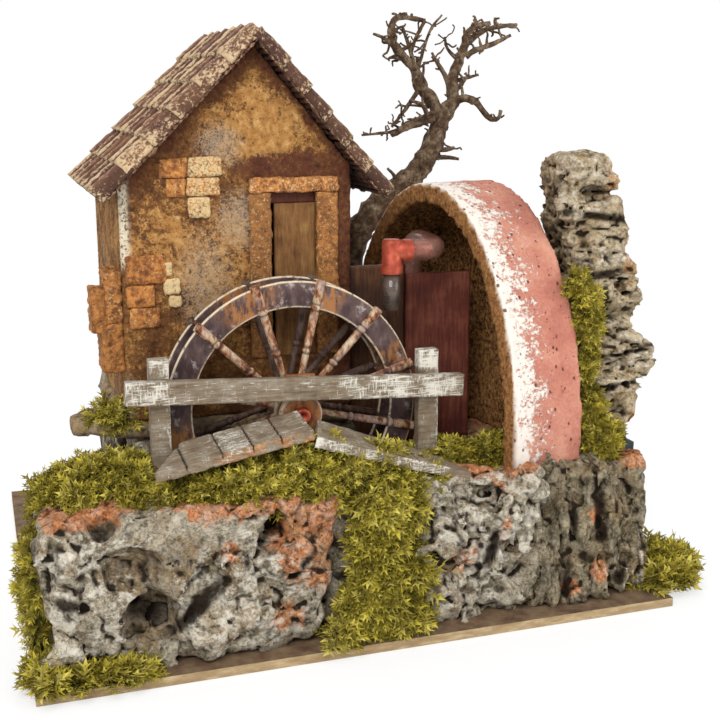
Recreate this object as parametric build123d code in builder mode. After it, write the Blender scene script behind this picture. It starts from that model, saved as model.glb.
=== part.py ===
"""Craft model of a watermill: house, waterwheel over a basin, arch, cork rocks and a bare tree."""
from build123d import *
import math
import os

# Base board, all lengths in millimetres
BOARD_WIDTH = 280
BOARD_DEPTH = 245
BOARD_THICKNESS = 4

# Places are counted from the board's left front corner and turned into the model's frame
LEFT = -BOARD_WIDTH / 2
FRONT = -BOARD_DEPTH / 2
DECK = 66

# Water basin behind the front rocks
BASIN_FROM_LEFT = 46
BASIN_LENGTH = 235
BASIN_FROM_FRONT = 41
BASIN_WIDTH = 33
BASIN_WALL = 2

# Rocks of cork bark
ROCK_SIDE_MARGIN = 8
ROCK_FRONT_MARGIN = 9
ROCK_BACK_MARGIN = 17
FRONT_ROCK_LEFT_WIDTH = 117
FRONT_ROCK_MIDDLE_WIDTH = 41
FRONT_ROCK_RIGHT_WIDTH = 48
ROCK_BATTER = 3
ROCK_CORNER = 9
ROCK_WAIST = 0.4
FALL_RECESS = 7
CORNER_ROCK_RECESS = 2
HOUSE_ROCK_INSET = 3.4

# Shelf under the house
SHELF_THICKNESS = 8
SHELF_LIP = 2
SHELF_BEHIND_HOUSE = 7
SHELF_LOBE = [(-0.6, 0), (-12, 6), (-24, 17), (-24.6, 25), (-19, 32), (-2, 42)]

# House
HOUSE_FROM_LEFT = 48.6
HOUSE_WIDTH = 102.1
HOUSE_FROM_FRONT = 75
HOUSE_DEPTH = 100
HOUSE_WALL = 5
RIDGE_FROM_LEFT = 107.5
RIDGE_OVER_LINTEL = 56
LEFT_PITCH = 45
RIGHT_PITCH = 50
LEFT_EAVE = 7.6
RIGHT_EAVE = 12
FRONT_VERGE = 10
BACK_VERGE = 5
ROOF_BOARD = 2.6
TILE_PITCH = 16.4
TILE_RADIUS = 7.4
TILE_BED = 1.6
TILE_CENTRE_DROP = 3.4

# Doorway and its frame
DOOR_FROM_LEFT = 114
DOOR_WIDTH = 20.5
DOOR_SILL = 112
DOOR_TOP = 185.5
DOOR_GAP = 1.8
DOOR_PANEL = 2.5
DOOR_HEADROOM = 5
FRAME_WIDTH = 10
FRAME_PROUD = 1.6
LINTEL_PROUD = 0.6
LINTEL_HEIGHT = 6.5

# Waterwheel
WHEEL_FROM_LEFT = 116.5
WHEEL_HEIGHT = 94.5
WHEEL_RADIUS = 55.7
RIM_WIDTH = 11.4
RIM_THICKNESS = 2
WHEEL_FROM_FRONT = 50
WHEEL_WIDTH = 16
SPOKE_COUNT = 12
SPOKE_PHASE = 17
SPOKE_RADIUS = 2.1
SPOKE_OVERHANG = 1.2
SPOKE_KNOBS = [0.36, 0.62, 0.9]
KNOB_GIRTH = 1.2
KNOB_LENGTH = 0.6
HUB_RADIUS = 9.3
BOSS_LENGTH = 4
AXLE_RADIUS = 3.5
AXLE_FRONT_REACH = 35
RUNNING_CLEARANCE = 0.05
PADDLE_THICKNESS = 1.5
PADDLE_LENGTH = 13

# Bearings of the axle
FRONT_BEARING_WIDTH = 15
FRONT_BEARING_THICKNESS = 4
BEARING_MARGIN = 6
BACK_BEARING_RADIUS = 7
BACK_BEARING_OVER_SHELF = 0.5

# Rail on two posts in front of the wheel
RAIL_FROM_LEFT = 43
RAIL_LENGTH = 146
RAIL_FROM_FRONT = 33
RAIL_THICKNESS = 4.5
RAIL_LEFT_OVER_AXLE = 21.1
RAIL_RIGHT_OVER_AXLE = 13.5
RAIL_DEPTH_LEFT = 10.2
RAIL_DEPTH_RIGHT = 9
POST_THICKNESS = 5.5
LEFT_POST_FROM_LEFT = 53
LEFT_POST_WIDTH = 8
LEFT_POST_OVER_AXLE = 28.5
RIGHT_POST_FROM_LEFT = 169.5
RIGHT_POST_WIDTH = 9
RIGHT_POST_OVER_AXLE = 24.5

# Two planks that lean together in front of the wheel
PLANK_FROM_FRONT = 13
PLANK_WIDTH = 21
PLANK_THICKNESS = 4
PLANK_LEFT_END = 50
PLANK_APEX = 115
PLANK_RIGHT_END = 188
PLANK_LEFT_TOP = 84.5
PLANK_APEX_TOP = 96
PLANK_RIGHT_APEX_TOP = 92.3
PLANK_SPLIT = 1.5

# Arch: half an elliptic barrel on short legs
ARCH_FROM_LEFT = 205.6
ARCH_FROM_FRONT = 15.2
ARCH_TURN = 12
ARCH_HALF_SPAN = 72
ARCH_RISE = 111
ARCH_LEG = 10
ARCH_LENGTH = 38
ARCH_WALL = 9
ARCH_END_THICKNESS = 3

# Boards behind the basin, under the arch
RED_SCREEN_FROM_LEFT = 179
RED_SCREEN_WIDTH = 32
RED_SCREEN_FROM_FRONT = 78
RED_SCREEN_HEIGHT = 80
RED_SCREEN_THICKNESS = 3
BROWN_SCREEN_FROM_LEFT = 152
BROWN_SCREEN_WIDTH = 27.5
BROWN_SCREEN_FROM_FRONT = 82
BROWN_SCREEN_HEIGHT = 84
BROWN_SCREEN_THICKNESS = 4

# Spout over the wheel: elbow, drop tube and feed hose
SPOUT_FROM_LEFT = 164
SPOUT_FROM_FRONT = 58
ELBOW_RADIUS = 4.4
ELBOW_COLLAR_RADIUS = 5
ELBOW_COLLAR_LENGTH = 4
ELBOW_REACH = 9
ELBOW_DROP = 10
DROP_TUBE_RADIUS = 4
DROP_TUBE_WALL = 1
DROP_TUBE_LENGTH = 16
DROP_TUBE_OVER_AXLE = 39.5
HOSE_RADIUS = 5.4
HOSE_RUN = 15
HOSE_FROM_FRONT = 96
HOSE_BEND = 12

# Bark pillar: height over the deck, left and right edge from its foot's left edge
PILLAR_FRONT = 42
PILLAR_BACK = 73
PILLAR_FROM_LEFT = 248
PILLAR_SECTIONS = [
    (0, 0, 29), (18, -1, 37), (41, -1, 48), (61, 0, 39),
    (84, -3, 36), (100, -7, 29), (120, -10, 26), (135, -9, 18),
]
PILLAR_CORNER = 6

# Bare tree: each limb is a list of points with its first and last radius
TREE_LIMBS = [
    ([(165, 139, DECK), (168, 143, 120), (176, 150, 150), (184, 151, 164), (195, 150, 175), (208, 149, 185),
      (215, 150, 193), (221, 151, 203), (223, 150, 211), (223, 150, 218)], 5.5, 4.6),
    ([(223, 150, 215), (210, 147, 213), (195, 144, 207)], 3.4, 1.2),
    ([(223, 150, 218), (210, 146, 231), (207, 143, 239), (200, 141, 245), (194, 140, 252),
      (194, 140, 263), (205, 143, 264)], 3, 1),
    ([(219, 151, 221), (217, 155, 233), (214, 157, 246)], 2.2, 1),
    ([(223, 150, 216), (232, 152, 224), (231, 152, 234), (234, 153, 241), (238, 153, 251),
      (240, 152, 260), (251, 150, 263)], 3.6, 1.1),
    ([(238, 153, 251), (243, 156, 255), (252, 158, 261), (271, 160, 263)], 2, 0.9),
    ([(230, 151, 222), (242, 148, 224), (250, 146, 215), (256, 145, 217)], 2.4, 1),
    ([(240, 153, 249), (251, 150, 252), (262, 148, 257)], 1.6, 0.9),
]
TREE_KNOT = 1.04

# Painted brick patches and corner stones on the house
PATCH_PROUD = 1.4
UPPER_PATCH_FROM_CORNER = 17.4
UPPER_PATCH_WIDTH = 26
UPPER_PATCH_UNDER_RIDGE = 47
UPPER_PATCH_HEIGHT = 26
LOWER_PATCH_FROM_CORNER = 1.4
LOWER_PATCH_WIDTH = 19
LOWER_PATCH_OVER_BASE = 42
LOWER_PATCH_HEIGHT = 31
CORNER_BLOCK_WIDTH = 9.4
CORNER_BLOCK_DEPTH = 22
CORNER_BLOCK_HEIGHT = 44
CORNER_BLOCK_OVER_BASE = 22
CORNER_SETBACK = 3
CORNER_SLAB_WIDTH = 4
CORNER_SLAB_DEPTH = 16
CORNER_SLAB_HEIGHT = 20
CORNER_SLAB_DROP = 7

# Moss cushions
MOSS_RIGHT_REACH = 27
MOSS_RIGHT_HEIGHT = 16
MOSS_LEFT_HEIGHT = 8
MOSS_EDGE_HEIGHT = 44
MOSS_CORNER_WIDTH = 50
MOSS_CORNER_HEIGHT = 10
MOSS_FALL_HEIGHT = 60
MOSS_FALL_FROM_FRONT = 3
MOSS_ARCH_WIDTH = 45
MOSS_ARCH_HEIGHT = 7
MOSS_PILLAR_WIDTH = 14
MOSS_PILLAR_DEPTH = 14
MOSS_PILLAR_HEIGHT = 82
MOSS_BACK_HEIGHT = 12
MOSS_BACK_MARGIN = 30
MOSS_EDGE_MARGIN = 3
MOSS_CLEARANCE = 1
MOSS_PLANK_MARGIN = 2
MOSS_FALL_OVERLAP = 2
MOSS_ARCH_GAP = 1.5
MOSS_SLOPE_SHARE = 0.6

# The most of a side that one rounded corner takes
CORNER_SHARE = 1 / 3

BOARD_TOP = BOARD_THICKNESS
RIDGE_HEIGHT = DOOR_TOP + LINTEL_HEIGHT + RIDGE_OVER_LINTEL
HOUSE_BASE = WHEEL_HEIGHT - BACK_BEARING_RADIUS - BACK_BEARING_OVER_SHELF
RAIL_TOP_LEFT = WHEEL_HEIGHT + RAIL_LEFT_OVER_AXLE
RAIL_TOP_RIGHT = WHEEL_HEIGHT + RAIL_RIGHT_OVER_AXLE
DROP_TUBE_END = WHEEL_HEIGHT + DROP_TUBE_OVER_AXLE
ELBOW_END = DROP_TUBE_END + DROP_TUBE_LENGTH
SPOUT_AXIS_HEIGHT = ELBOW_END + ELBOW_DROP
BASIN_BACK = BASIN_FROM_FRONT + BASIN_WIDTH
HOUSE_RIGHT = HOUSE_FROM_LEFT + HOUSE_WIDTH
HOUSE_BACK = HOUSE_FROM_FRONT + HOUSE_DEPTH
ROCK_RIGHT = BOARD_WIDTH - 2
ROCK_BACK = BOARD_DEPTH - ROCK_BACK_MARGIN
RIM_INNER = WHEEL_RADIUS - RIM_WIDTH
WHEEL_BACK = WHEEL_FROM_FRONT + WHEEL_WIDTH


def box_between(x0, x1, y0, y1, z0, z1, mode=Mode.ADD):
    """A box between two corners, counted from the board's left front corner."""
    with Locations((LEFT + x0, FRONT + y0, z0)):
        Box(x1 - x0, y1 - y0, z1 - z0, align=(Align.MIN, Align.MIN, Align.MIN), mode=mode)


def upright(y):
    """The upright plane across the model, y behind the board's front edge."""
    return Plane.XZ.offset(-(FRONT + y))


def chamfered_outline(x0, x1, y0, y1, corner):
    """A rectangle with its corners cut, as on a split piece of bark."""
    cut = min(corner, (x1 - x0) * CORNER_SHARE, (y1 - y0) * CORNER_SHARE)
    across = [(x0 + cut, y0), (x1 - cut, y0), (x1, y0 + cut), (x1, y1 - cut)]
    back = [(x1 - cut, y1), (x0 + cut, y1), (x0, y1 - cut), (x0, y0 + cut)]
    Polygon(*[(LEFT + x, FRONT + y) for x, y in across + back], align=None)


def rock(x0, x1, y0, y1, z0, z1, front_batter=ROCK_BATTER):
    """A block of cork bark, fullest a little below the middle."""
    levels = [
        (z0, front_batter / 2, ROCK_CORNER),
        (z0 + ROCK_WAIST * (z1 - z0), 0, ROCK_CORNER / 2),
        (z1, front_batter, ROCK_CORNER),
    ]
    sections = []
    for height, inset, corner in levels:
        with BuildSketch(Plane.XY.offset(height)) as section:
            chamfered_outline(x0, x1, y0 + inset, y1, corner)
        sections.append(section.sketch)
    loft(sections, ruled=True)


def moss_pad(x0, x1, y0, y1, z0, height):
    """A cushion of moss with sloping sides."""
    slope = min(height, (x1 - x0) * CORNER_SHARE, (y1 - y0) * CORNER_SHARE) * MOSS_SLOPE_SHARE
    with BuildSketch(Plane.XY.offset(z0)) as foot:
        chamfered_outline(x0, x1, y0, y1, slope)
    with BuildSketch(Plane.XY.offset(z0 + height)) as crown:
        chamfered_outline(x0 + slope, x1 - slope, y0 + slope, y1 - slope, slope / 2)
    loft([foot.sketch, crown.sketch], ruled=True)


def roof_underside(x):
    """Height of the roof boards' underside at x from the board's left edge."""
    if x < RIDGE_FROM_LEFT:
        return RIDGE_HEIGHT - (RIDGE_FROM_LEFT - x) * math.tan(math.radians(LEFT_PITCH))
    return RIDGE_HEIGHT - (x - RIDGE_FROM_LEFT) * math.tan(math.radians(RIGHT_PITCH))


def wall_outline(x0, x1):
    """A wall's outline between two places across the house, up to the roof."""
    corners = [(x0, HOUSE_BASE), (x1, HOUSE_BASE), (x1, roof_underside(x1))]
    if x0 < RIDGE_FROM_LEFT < x1:
        corners.append((RIDGE_FROM_LEFT, RIDGE_HEIGHT))
    corners.append((x0, roof_underside(x0)))
    Polygon(*[(LEFT + x, z) for x, z in corners], align=None)


def roof_board_outline(x0, x1):
    """A roof board's outline between its eave and the ridge."""
    corners = [
        (x0, roof_underside(x0)), (x1, roof_underside(x1)),
        (x1, roof_underside(x1) + ROOF_BOARD), (x0, roof_underside(x0) + ROOF_BOARD),
    ]
    Polygon(*[(LEFT + x, z) for x, z in corners], align=None)


def tile_rows(eave, side):
    """Rows of barrel tiles that run from the eave to the ridge on one slope."""
    pitch = math.radians(LEFT_PITCH if side < 0 else RIGHT_PITCH)
    length = abs(RIDGE_FROM_LEFT - eave) / math.cos(pitch)
    depth = HOUSE_DEPTH + FRONT_VERGE + BACK_VERGE
    rows = int(depth // TILE_PITCH)
    middle = FRONT + HOUSE_FROM_FRONT - FRONT_VERGE + depth / 2
    slope = Plane(
        origin=(LEFT + eave, middle, roof_underside(eave) + ROOF_BOARD),
        x_dir=(0, -side, 0),
        z_dir=(-side * math.cos(pitch), 0, math.sin(pitch)),
    )
    with BuildSketch(slope) as profile:
        with GridLocations(TILE_PITCH, 1, rows, 1):
            with Locations((0, -TILE_CENTRE_DROP)):
                Circle(TILE_RADIUS)
        with Locations((0, -TILE_RADIUS)):
            Rectangle(2 * depth, 2 * TILE_RADIUS, mode=Mode.SUBTRACT)
        with Locations((0, TILE_BED / 2)):
            Rectangle(depth, TILE_BED)
    extrude(profile.sketch, amount=length)


def wheel_plane(y):
    """Plane square to the axle through the wheel's centre, y behind the board's front edge."""
    return Plane(
        origin=(LEFT + WHEEL_FROM_LEFT, FRONT + y, WHEEL_HEIGHT), x_dir=(1, 0, 0), z_dir=(0, 1, 0)
    )


def spoke_set(face_y, outward):
    """Twelve turned spokes and their boss on one face of the wheel."""
    length = WHEEL_RADIUS + SPOKE_OVERHANG
    for turn in range(SPOKE_COUNT):
        angle = math.radians(SPOKE_PHASE + turn * 360 / SPOKE_COUNT)
        along = (math.cos(angle), 0, math.sin(angle))
        hub = (LEFT + WHEEL_FROM_LEFT, FRONT + face_y, WHEEL_HEIGHT)
        with BuildSketch(Plane(origin=hub, z_dir=along)) as rod:
            Circle(SPOKE_RADIUS)
        extrude(rod.sketch, amount=length)
        for share in SPOKE_KNOBS:
            middle = tuple(h + a * share * length for h, a in zip(hub, along))
            with BuildSketch(Plane(origin=middle, z_dir=along)) as ring:
                Circle(SPOKE_RADIUS * KNOB_GIRTH)
            extrude(ring.sketch, amount=SPOKE_RADIUS * KNOB_LENGTH, both=True)
    with BuildSketch(wheel_plane(face_y)) as behind:
        Rectangle(4 * length, 4 * length)
    extrude(behind.sketch, amount=-outward * 3 * SPOKE_RADIUS, mode=Mode.SUBTRACT)
    with BuildSketch(wheel_plane(face_y)) as boss:
        Circle(HUB_RADIUS)
    extrude(boss.sketch, amount=outward * BOSS_LENGTH)
    with BuildSketch(wheel_plane(face_y)) as bore:
        Circle(AXLE_RADIUS + RUNNING_CLEARANCE)
    extrude(bore.sketch, amount=outward * 2 * BOSS_LENGTH, mode=Mode.SUBTRACT)


def limb(points, first_radius, last_radius):
    """A tapered limb through its points, with a knot at each bend."""
    places = [Vector(LEFT + x, FRONT + y, z) for x, y, z in points]
    steps = len(places) - 1
    radii = [first_radius + (last_radius - first_radius) * step / steps for step in range(steps + 1)]
    for step in range(steps):
        run = places[step + 1] - places[step]
        with Locations(Plane(origin=places[step], z_dir=run)):
            Cone(
                radii[step], radii[step + 1], run.length,
                align=(Align.CENTER, Align.CENTER, Align.MIN),
            )
        with Locations(places[step + 1]):
            Sphere(radii[step + 1] * TREE_KNOT)


def save(builder, name):
    """Label a finished piece and write it."""
    builder.part.label = name
    export_step(builder.part, f"parts/{name}.step")


os.makedirs("parts", exist_ok=True)

# Base board
with BuildPart() as base_board:
    box_between(0, BOARD_WIDTH, 0, BOARD_DEPTH, 0, BOARD_THICKNESS)
save(base_board, "base_board")

# Front rocks, side by side in front of the basin
left_rock_end = ROCK_SIDE_MARGIN + FRONT_ROCK_LEFT_WIDTH
middle_rock_end = left_rock_end + FRONT_ROCK_MIDDLE_WIDTH
right_rock_end = middle_rock_end + FRONT_ROCK_RIGHT_WIDTH
front_rocks = {
    "rock_front_left": (ROCK_SIDE_MARGIN, left_rock_end, ROCK_FRONT_MARGIN),
    "rock_front_middle": (left_rock_end, middle_rock_end, ROCK_FRONT_MARGIN + FALL_RECESS),
    "rock_front_right": (middle_rock_end, right_rock_end, ROCK_FRONT_MARGIN),
    "rock_front_corner": (right_rock_end, ROCK_RIGHT, ROCK_FRONT_MARGIN + CORNER_ROCK_RECESS),
}
for name, (x0, x1, y0) in front_rocks.items():
    with BuildPart() as front_rock:
        rock(x0, x1, y0, BASIN_FROM_FRONT, BOARD_TOP, DECK)
    save(front_rock, name)

# Rocks beside and behind the basin
with BuildPart() as rock_left_side:
    rock(ROCK_SIDE_MARGIN, BASIN_FROM_LEFT, BASIN_FROM_FRONT, BASIN_BACK, BOARD_TOP, DECK, 0)
save(rock_left_side, "rock_left_side")

shelf_bottom = HOUSE_BASE - SHELF_THICKNESS
with BuildPart() as rock_under_house:
    rock(HOUSE_FROM_LEFT + HOUSE_ROCK_INSET, HOUSE_RIGHT, BASIN_BACK, ROCK_BACK, BOARD_TOP, shelf_bottom, 0)
save(rock_under_house, "rock_under_house")

with BuildPart() as rock_back_right:
    rock(HOUSE_RIGHT, ROCK_RIGHT, BASIN_BACK, ROCK_BACK, BOARD_TOP, DECK, 0)
save(rock_back_right, "rock_back_right")

with BuildPart() as house_shelf:
    shelf_left = HOUSE_FROM_LEFT - SHELF_LIP
    shelf_back = HOUSE_BACK + SHELF_BEHIND_HOUSE
    lobe = [(HOUSE_FROM_LEFT + x, BASIN_BACK + y) for x, y in SHELF_LOBE]
    plate = [
        (shelf_left, shelf_back - ROCK_CORNER), (shelf_left + ROCK_CORNER, shelf_back),
        (HOUSE_RIGHT, shelf_back), (HOUSE_RIGHT, BASIN_BACK),
    ]
    with BuildSketch(Plane.XY.offset(shelf_bottom)):
        with BuildLine():
            Polyline([(LEFT + x, FRONT + y) for x, y in lobe + plate], close=True)
        make_face()
    extrude(amount=SHELF_THICKNESS)
save(house_shelf, "house_shelf")

# Basin
with BuildPart() as water_basin:
    box_between(
        BASIN_FROM_LEFT, BASIN_FROM_LEFT + BASIN_LENGTH,
        BASIN_FROM_FRONT, BASIN_BACK, BOARD_TOP, DECK,
    )
    box_between(
        BASIN_FROM_LEFT + BASIN_WALL, BASIN_FROM_LEFT + BASIN_LENGTH - BASIN_WALL,
        BASIN_FROM_FRONT + BASIN_WALL, BASIN_BACK - BASIN_WALL,
        BOARD_TOP + BASIN_WALL, DECK, mode=Mode.SUBTRACT,
    )
save(water_basin, "water_basin")

# House walls: gables at the front and back, side walls between them
with BuildPart() as house_front_wall:
    with BuildSketch(upright(HOUSE_FROM_FRONT)):
        wall_outline(HOUSE_FROM_LEFT, HOUSE_RIGHT)
    extrude(amount=-HOUSE_WALL)
    box_between(
        DOOR_FROM_LEFT, DOOR_FROM_LEFT + DOOR_WIDTH,
        HOUSE_FROM_FRONT, HOUSE_FROM_FRONT + HOUSE_WALL, DOOR_SILL, DOOR_TOP, mode=Mode.SUBTRACT,
    )
save(house_front_wall, "house_front_wall")

with BuildPart() as house_back_wall:
    with BuildSketch(upright(HOUSE_BACK - HOUSE_WALL)):
        wall_outline(HOUSE_FROM_LEFT, HOUSE_RIGHT)
    extrude(amount=-HOUSE_WALL)
save(house_back_wall, "house_back_wall")

side_walls = {
    "house_left_wall": (HOUSE_FROM_LEFT, HOUSE_FROM_LEFT + HOUSE_WALL),
    "house_right_wall": (HOUSE_RIGHT - HOUSE_WALL, HOUSE_RIGHT),
}
for name, (x0, x1) in side_walls.items():
    with BuildPart() as side_wall:
        with BuildSketch(upright(HOUSE_FROM_FRONT + HOUSE_WALL)):
            wall_outline(x0, x1)
        extrude(amount=-(HOUSE_DEPTH - 2 * HOUSE_WALL))
    save(side_wall, name)

# Door panel glued in the doorway, with a gap at its left
with BuildPart() as door_panel:
    box_between(
        DOOR_FROM_LEFT + DOOR_GAP, DOOR_FROM_LEFT + DOOR_WIDTH,
        HOUSE_FROM_FRONT + FRAME_PROUD, HOUSE_FROM_FRONT + FRAME_PROUD + DOOR_PANEL,
        DOOR_SILL, DOOR_TOP - DOOR_HEADROOM,
    )
save(door_panel, "door_panel")

frame_front = HOUSE_FROM_FRONT - FRAME_PROUD
with BuildPart() as door_lintel:
    box_between(
        DOOR_FROM_LEFT - FRAME_WIDTH, DOOR_FROM_LEFT + DOOR_WIDTH + FRAME_WIDTH,
        frame_front - LINTEL_PROUD, HOUSE_FROM_FRONT, DOOR_TOP, DOOR_TOP + LINTEL_HEIGHT,
    )
save(door_lintel, "door_lintel")

with BuildPart() as door_jambs:
    for x0 in (DOOR_FROM_LEFT - FRAME_WIDTH, DOOR_FROM_LEFT + DOOR_WIDTH):
        box_between(x0, x0 + FRAME_WIDTH, frame_front, HOUSE_FROM_FRONT, DOOR_SILL, DOOR_TOP)
save(door_jambs, "door_jambs")

# Roof boards and tile rows
roof_depth = HOUSE_DEPTH + FRONT_VERGE + BACK_VERGE
left_eave = HOUSE_FROM_LEFT - LEFT_EAVE
right_eave = HOUSE_RIGHT + RIGHT_EAVE
slopes = {
    "left": (left_eave, RIDGE_FROM_LEFT, left_eave, -1),
    "right": (RIDGE_FROM_LEFT, right_eave, right_eave, 1),
}
for name, (x0, x1, eave, side) in slopes.items():
    with BuildPart() as roof_board:
        with BuildSketch(upright(HOUSE_FROM_FRONT - FRONT_VERGE)):
            roof_board_outline(x0, x1)
        extrude(amount=-roof_depth)
    save(roof_board, f"roof_{name}_board")
    with BuildPart() as roof_tiles:
        tile_rows(eave, side)
    save(roof_tiles, f"roof_{name}_tiles")

# Painted brick patches on the front wall and stones at its left corner
patch_front = HOUSE_FROM_FRONT - PATCH_PROUD
with BuildPart() as brick_patches:
    x0 = HOUSE_FROM_LEFT + UPPER_PATCH_FROM_CORNER
    z1 = RIDGE_HEIGHT - UPPER_PATCH_UNDER_RIDGE
    box_between(
        x0, x0 + UPPER_PATCH_WIDTH, patch_front, HOUSE_FROM_FRONT, z1 - UPPER_PATCH_HEIGHT, z1,
    )
    x0 = HOUSE_FROM_LEFT + LOWER_PATCH_FROM_CORNER
    z0 = HOUSE_BASE + LOWER_PATCH_OVER_BASE
    box_between(
        x0, x0 + LOWER_PATCH_WIDTH, patch_front, HOUSE_FROM_FRONT, z0, z0 + LOWER_PATCH_HEIGHT,
    )
save(brick_patches, "brick_patches")

with BuildPart() as corner_stones:
    block_left = HOUSE_FROM_LEFT - CORNER_BLOCK_WIDTH
    block_bottom = HOUSE_BASE + CORNER_BLOCK_OVER_BASE
    block_top = block_bottom + CORNER_BLOCK_HEIGHT
    slab_top = block_top - CORNER_SLAB_DROP
    y0 = HOUSE_FROM_FRONT + CORNER_SETBACK
    box_between(block_left, HOUSE_FROM_LEFT, y0, y0 + CORNER_BLOCK_DEPTH, block_bottom, block_top)
    box_between(
        block_left - CORNER_SLAB_WIDTH, block_left, y0, y0 + CORNER_SLAB_DEPTH,
        slab_top - CORNER_SLAB_HEIGHT, slab_top,
    )
save(corner_stones, "corner_stones")

# Waterwheel: rings, spokes, paddles, hub and axle
with BuildPart() as wheel_rings:
    for y in (WHEEL_FROM_FRONT, WHEEL_BACK - RIM_THICKNESS):
        with BuildSketch(wheel_plane(y)):
            Circle(WHEEL_RADIUS)
            Circle(RIM_INNER, mode=Mode.SUBTRACT)
        extrude(amount=RIM_THICKNESS)
save(wheel_rings, "wheel_rings")

with BuildPart() as wheel_front_spokes:
    spoke_set(WHEEL_FROM_FRONT, -1)
save(wheel_front_spokes, "wheel_front_spokes")

with BuildPart() as wheel_back_spokes:
    spoke_set(WHEEL_BACK, 1)
save(wheel_back_spokes, "wheel_back_spokes")

with BuildPart() as wheel_paddles:
    paddle_depth = WHEEL_WIDTH - 2 * RIM_THICKNESS
    for turn in range(SPOKE_COUNT):
        angle = SPOKE_PHASE + turn * 360 / SPOKE_COUNT
        with BuildSketch(wheel_plane(WHEEL_FROM_FRONT + RIM_THICKNESS)):
            with PolarLocations(WHEEL_RADIUS - PADDLE_LENGTH / 2, 1, start_angle=angle):
                Rectangle(PADDLE_LENGTH, PADDLE_THICKNESS)
        extrude(amount=paddle_depth)
save(wheel_paddles, "wheel_paddles")

with BuildPart() as wheel_hub:
    with BuildSketch(wheel_plane(WHEEL_FROM_FRONT)):
        Circle(HUB_RADIUS)
        Circle(AXLE_RADIUS + RUNNING_CLEARANCE, mode=Mode.SUBTRACT)
    extrude(amount=WHEEL_WIDTH)
save(wheel_hub, "wheel_hub")

back_bearing_front = HOUSE_FROM_FRONT - HOUSE_WALL
with BuildPart() as wheel_axle:
    with BuildSketch(wheel_plane(AXLE_FRONT_REACH)):
        Circle(AXLE_RADIUS)
    extrude(amount=HOUSE_FROM_FRONT - RUNNING_CLEARANCE - AXLE_FRONT_REACH)
save(wheel_axle, "wheel_axle")

# Bearings: a board hung from the rail and a block on the house wall
rail_back = RAIL_FROM_FRONT + RAIL_THICKNESS


def rail_top(x):
    """Height of the rail's top edge at x from the board's left edge."""
    return RAIL_TOP_LEFT + (RAIL_TOP_RIGHT - RAIL_TOP_LEFT) * (x - RAIL_FROM_LEFT) / RAIL_LENGTH


with BuildPart() as front_bearing:
    half = FRONT_BEARING_WIDTH / 2
    box_between(
        WHEEL_FROM_LEFT - half, WHEEL_FROM_LEFT + half, rail_back, rail_back + FRONT_BEARING_THICKNESS,
        WHEEL_HEIGHT - AXLE_RADIUS - BEARING_MARGIN, rail_top(WHEEL_FROM_LEFT + half),
    )
    with BuildSketch(wheel_plane(rail_back)):
        Circle(AXLE_RADIUS + RUNNING_CLEARANCE)
    extrude(amount=FRONT_BEARING_THICKNESS, mode=Mode.SUBTRACT)
save(front_bearing, "front_bearing")

with BuildPart() as back_bearing:
    with BuildSketch(wheel_plane(back_bearing_front)):
        Circle(BACK_BEARING_RADIUS)
        Circle(AXLE_RADIUS + RUNNING_CLEARANCE, mode=Mode.SUBTRACT)
    extrude(amount=HOUSE_WALL)
save(back_bearing, "back_bearing")

# Rail and posts
with BuildPart() as front_rail:
    rail_end = RAIL_FROM_LEFT + RAIL_LENGTH
    corners = [
        (RAIL_FROM_LEFT, RAIL_TOP_LEFT - RAIL_DEPTH_LEFT), (rail_end, RAIL_TOP_RIGHT - RAIL_DEPTH_RIGHT),
        (rail_end, RAIL_TOP_RIGHT), (RAIL_FROM_LEFT, RAIL_TOP_LEFT),
    ]
    with BuildSketch(upright(RAIL_FROM_FRONT)):
        with BuildLine():
            Polyline([(LEFT + x, z) for x, z in corners], close=True)
        make_face()
    extrude(amount=-RAIL_THICKNESS)
save(front_rail, "front_rail")

with BuildPart() as rail_posts:
    posts = [
        (LEFT_POST_FROM_LEFT, LEFT_POST_WIDTH, WHEEL_HEIGHT + LEFT_POST_OVER_AXLE),
        (RIGHT_POST_FROM_LEFT, RIGHT_POST_WIDTH, WHEEL_HEIGHT + RIGHT_POST_OVER_AXLE),
    ]
    for x0, width, top in posts:
        box_between(x0, x0 + width, rail_back, rail_back + POST_THICKNESS, DECK, top)
save(rail_posts, "rail_posts")

# Leaning planks on their bed of moss
plank_back = PLANK_FROM_FRONT + PLANK_WIDTH
plank_outlines = {
    "cover_plank_left": [(PLANK_LEFT_END, PLANK_LEFT_TOP), (PLANK_APEX - PLANK_SPLIT / 2, PLANK_APEX_TOP)],
    "cover_plank_right": [
        (PLANK_APEX + PLANK_SPLIT / 2, PLANK_RIGHT_APEX_TOP), (PLANK_RIGHT_END, DECK + PLANK_THICKNESS),
    ],
}
for name, ((x0, z0), (x1, z1)) in plank_outlines.items():
    with BuildPart() as plank:
        with BuildSketch(upright(PLANK_FROM_FRONT)):
            with BuildLine():
                corners = [(x0, z0 - PLANK_THICKNESS), (x1, z1 - PLANK_THICKNESS), (x1, z1), (x0, z0)]
                Polyline([(LEFT + x, z) for x, z in corners], close=True)
            make_face()
        extrude(amount=-PLANK_WIDTH)
    save(plank, name)

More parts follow.
